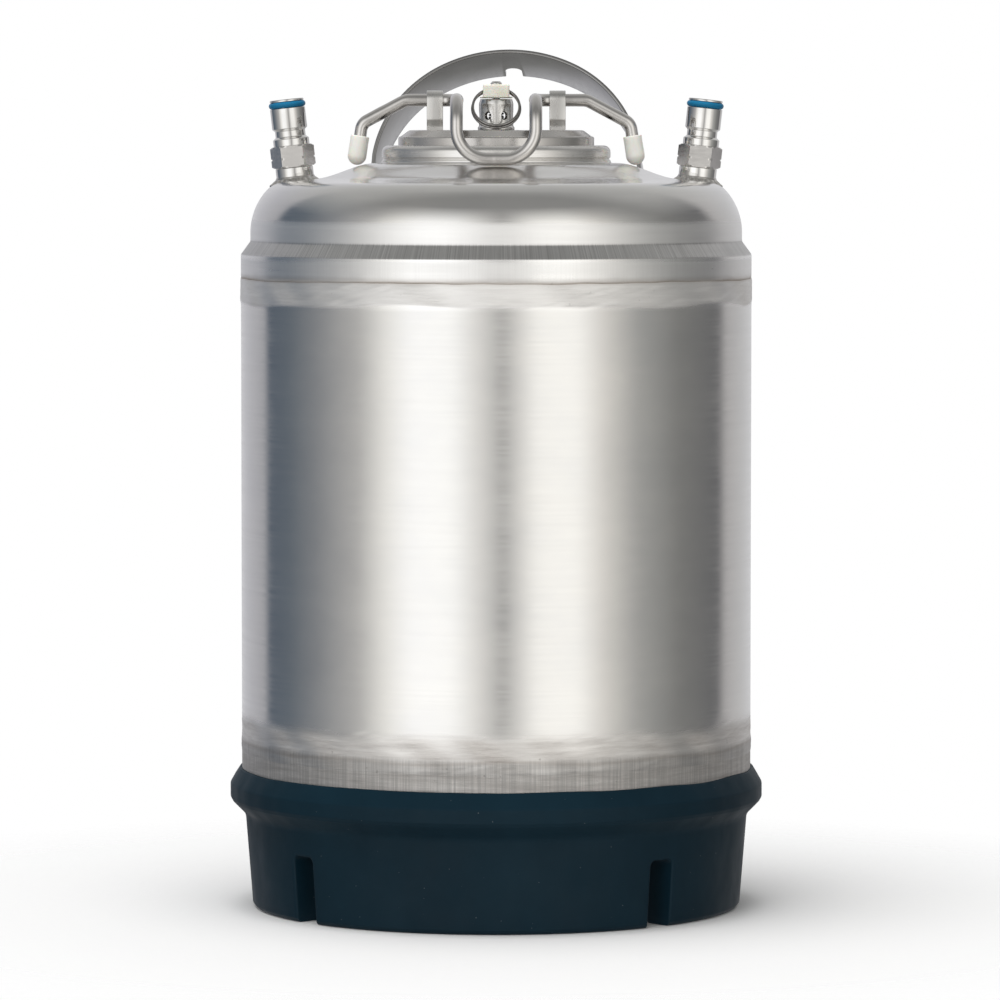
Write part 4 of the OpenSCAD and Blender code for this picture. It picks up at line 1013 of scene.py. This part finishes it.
# ---- Studio ----
def make_floor():
    """A pale floor that fades out into the white background."""
    pale = Finish("pale_floor", Roughness=0.9)
    distance = pale.vector_maths("LENGTH", pale.place)
    grain = pale.noise((300, 300, 300), 3.0)
    pale.set(
        Base_Color=pale.mix(grain, (0.90, 0.90, 0.90), (0.93, 0.93, 0.93)),
        Alpha=pale.spread(distance.outputs["Value"], 0.11, 0.34, 1.0, 0.0),
    )
    corners = [(x * FLOOR_SIZE, y * FLOOR_SIZE, -FLOOR_DROP) for x, y in ((-1, -1), (1, -1), (1, 1), (-1, 1))]
    mesh = bpy.data.meshes.new("floor")
    mesh.from_pydata(corners, [], [(0, 1, 2, 3)])
    mesh.materials.append(pale.material)
    floor = bpy.data.objects.new("floor", mesh)
    floor.visible_glossy = False
    bpy.context.collection.objects.link(floor)


STUDIO_STRENGTH = 1.22
# The light round the keg: an angle in degrees from the front, to the right, and the colour there.
ROUND_THE_STUDIO = (
    (-180, (0.60, 0.60, 0.62)), (-150, (0.44, 0.44, 0.47)), (-128, (0.36, 0.36, 0.38)),
    (-124, (0.085, 0.105, 0.135)), (-106, (0.11, 0.13, 0.155)), (-88, (0.20, 0.21, 0.225)),
    (-64, (0.40, 0.395, 0.39)), (-50, (0.80, 0.79, 0.76)), (-38, (1.0, 1.0, 1.0)), (-20, (1.0, 1.0, 0.99)),
    (-9, (0.72, 0.71, 0.69)), (-1, (0.50, 0.49, 0.48)), (3, (0.30, 0.30, 0.29)), (7, (0.52, 0.51, 0.50)),
    (11, (0.66, 0.65, 0.63)), (18, (0.93, 0.92, 0.89)), (36, (0.96, 0.95, 0.92)), (50, (0.62, 0.60, 0.57)),
    (66, (0.33, 0.33, 0.32)), (90, (0.18, 0.18, 0.175)), (119, (0.12, 0.12, 0.125)),
    (126, (0.40, 0.39, 0.39)), (155, (0.50, 0.50, 0.51)), (180, (0.60, 0.60, 0.62)),
)
# By height above the level in degrees, how much of the light is the ceiling's.
OVER_THE_STUDIO = ((-90, 1.0), (-40, 1.0), (-22, 0.0), (22, 0.0), (36, 0.55), (50, 1.0), (90, 1.0))
# The ceiling's grey, by the angle in degrees from the front over the top.
CEILING = ((-180, 0.5), (-150, 0.3), (-30, 0.22), (0, 0.24), (75, 0.22), (95, 0.34), (150, 0.48), (180, 0.55))


def ramp(tree, value, stops):
    """A colour ramp with stops (position from 0 to 1, colour)."""
    node = tree.nodes.new("ShaderNodeValToRGB")
    tree.links.new(value, node.inputs[0])
    elements = node.color_ramp.elements
    elements.remove(elements[1])
    elements[0].position, elements[0].color = stops[0][0], (*stops[0][1], 1)
    for position, colour in stops[1:]:
        element = elements.new(position)
        element.color = (*colour, 1)
    return node.outputs[0]


def make_studio():
    """Soft panels round the keg as world light, and a plain white background."""
    world = bpy.data.worlds.new("studio")
    world.use_nodes = True
    bpy.context.scene.world = world
    tree = world.node_tree
    tree.nodes.clear()

    def maths(operation, *values):
        return add_node(tree, "ShaderNodeMath", *values, operation=operation).outputs[0]

    direction = add_node(tree, "ShaderNodeTexCoord").outputs["Generated"]
    x, y, z = add_node(tree, "ShaderNodeSeparateXYZ", direction).outputs
    turn = maths("ADD", maths("DIVIDE", maths("ARCTAN2", x, maths("MULTIPLY", y, -1.0)), FULL_TURN), 0.5)
    lift = maths("ADD", maths("DIVIDE", maths("ARCSINE", z), math.pi), 0.5)
    over = maths("ADD", maths("DIVIDE", maths("ARCTAN2", z, maths("MULTIPLY", y, -1.0)), FULL_TURN), 0.5)
    walls = ramp(tree, turn, [((a + 180) / 360, colour) for a, colour in ROUND_THE_STUDIO])
    ceiling = ramp(tree, over, [((a + 180) / 360, (grey, grey, 0.98 * grey)) for a, grey in CEILING])
    share = ramp(tree, lift, [((a + 90) / 180, (part,) * 3) for a, part in OVER_THE_STUDIO])
    blend = add_node(tree, "ShaderNodeMix", data_type="RGBA")
    for socket, value in zip((blend.inputs[0], blend.inputs[6], blend.inputs[7]), (share, walls, ceiling)):
        tree.links.new(value, socket)
    light = add_node(tree, "ShaderNodeBackground", blend.outputs[2], STUDIO_STRENGTH)
    white = add_node(tree, "ShaderNodeBackground", (1, 1, 1, 1))
    seen = add_node(tree, "ShaderNodeLightPath").outputs["Is Camera Ray"]
    choice = add_node(tree, "ShaderNodeMixShader", seen, light.outputs[0], white.outputs[0])
    add_node(tree, "ShaderNodeOutputWorld", choice.outputs[0])


def make_light(name, place, size, power):
    """A large soft lamp that steel doesn't mirror, aimed at the middle of the keg."""
    lamp = bpy.data.lights.new(name, "AREA")
    lamp.shape, lamp.size, lamp.energy = "DISK", size, power
    light = bpy.data.objects.new(name, lamp)
    light.location = place
    light.rotation_euler = (Vector((0, 0, 0.15)) - Vector(place)).to_track_quat("-Z", "Y").to_euler()
    light.visible_glossy = False
    bpy.context.collection.objects.link(light)


def make_camera():
    data = bpy.data.cameras.new("camera")
    data.lens, data.sensor_width = 216, 36
    data.clip_start, data.clip_end = 0.05, 50
    camera = bpy.data.objects.new("camera", data)
    place, target = Vector((0.0016, -2.54, 0.3292)), Vector((0.0016, 0, 0.1718))
    camera.location = place
    camera.rotation_euler = (target - place).to_track_quat("-Z", "Y").to_euler()
    bpy.context.collection.objects.link(camera)
    bpy.context.scene.camera = camera


# ---- Putting it together ----
make_camera()
make_studio()
make_floor()
make_light("overhead", (-0.3, -0.4, 2.2), 1.8, 34)
make_light("front_fill", (-0.9, -2.6, 0.9), 1.2, 9)
make_shell()
make_top_head()
make_bottom_head()
make_boot()
make_strap()
for side, name in ((-1, "gas"), (1, "liquid")):
    make_port(side, name)
    make_post(side, name)
make_lid()
make_gasket()
for side, name in ((-1, "left"), (1, "right")):
    make_clip(side, name)
make_valve_body()
make_knob()
make_stem()
make_ring()
make_bail()

CAD_FINISHES = {"relief_seal": seal_rubber}
for name in ("gas", "liquid"):
    CAD_FINISHES[f"{name}_dip_tube"] = plain_steel
    CAD_FINISHES[f"{name}_dip_tube_o_ring"] = CAD_FINISHES[f"{name}_poppet_seal"] = seal_rubber
    CAD_FINISHES[f"{name}_poppet"] = post_steel
for node, material in CAD_FINISHES.items():
    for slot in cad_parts[node].material_slots:
        slot.material = material

bpy.context.scene.view_settings.view_transform = "Standard"

bpy.context.view_layer.update()
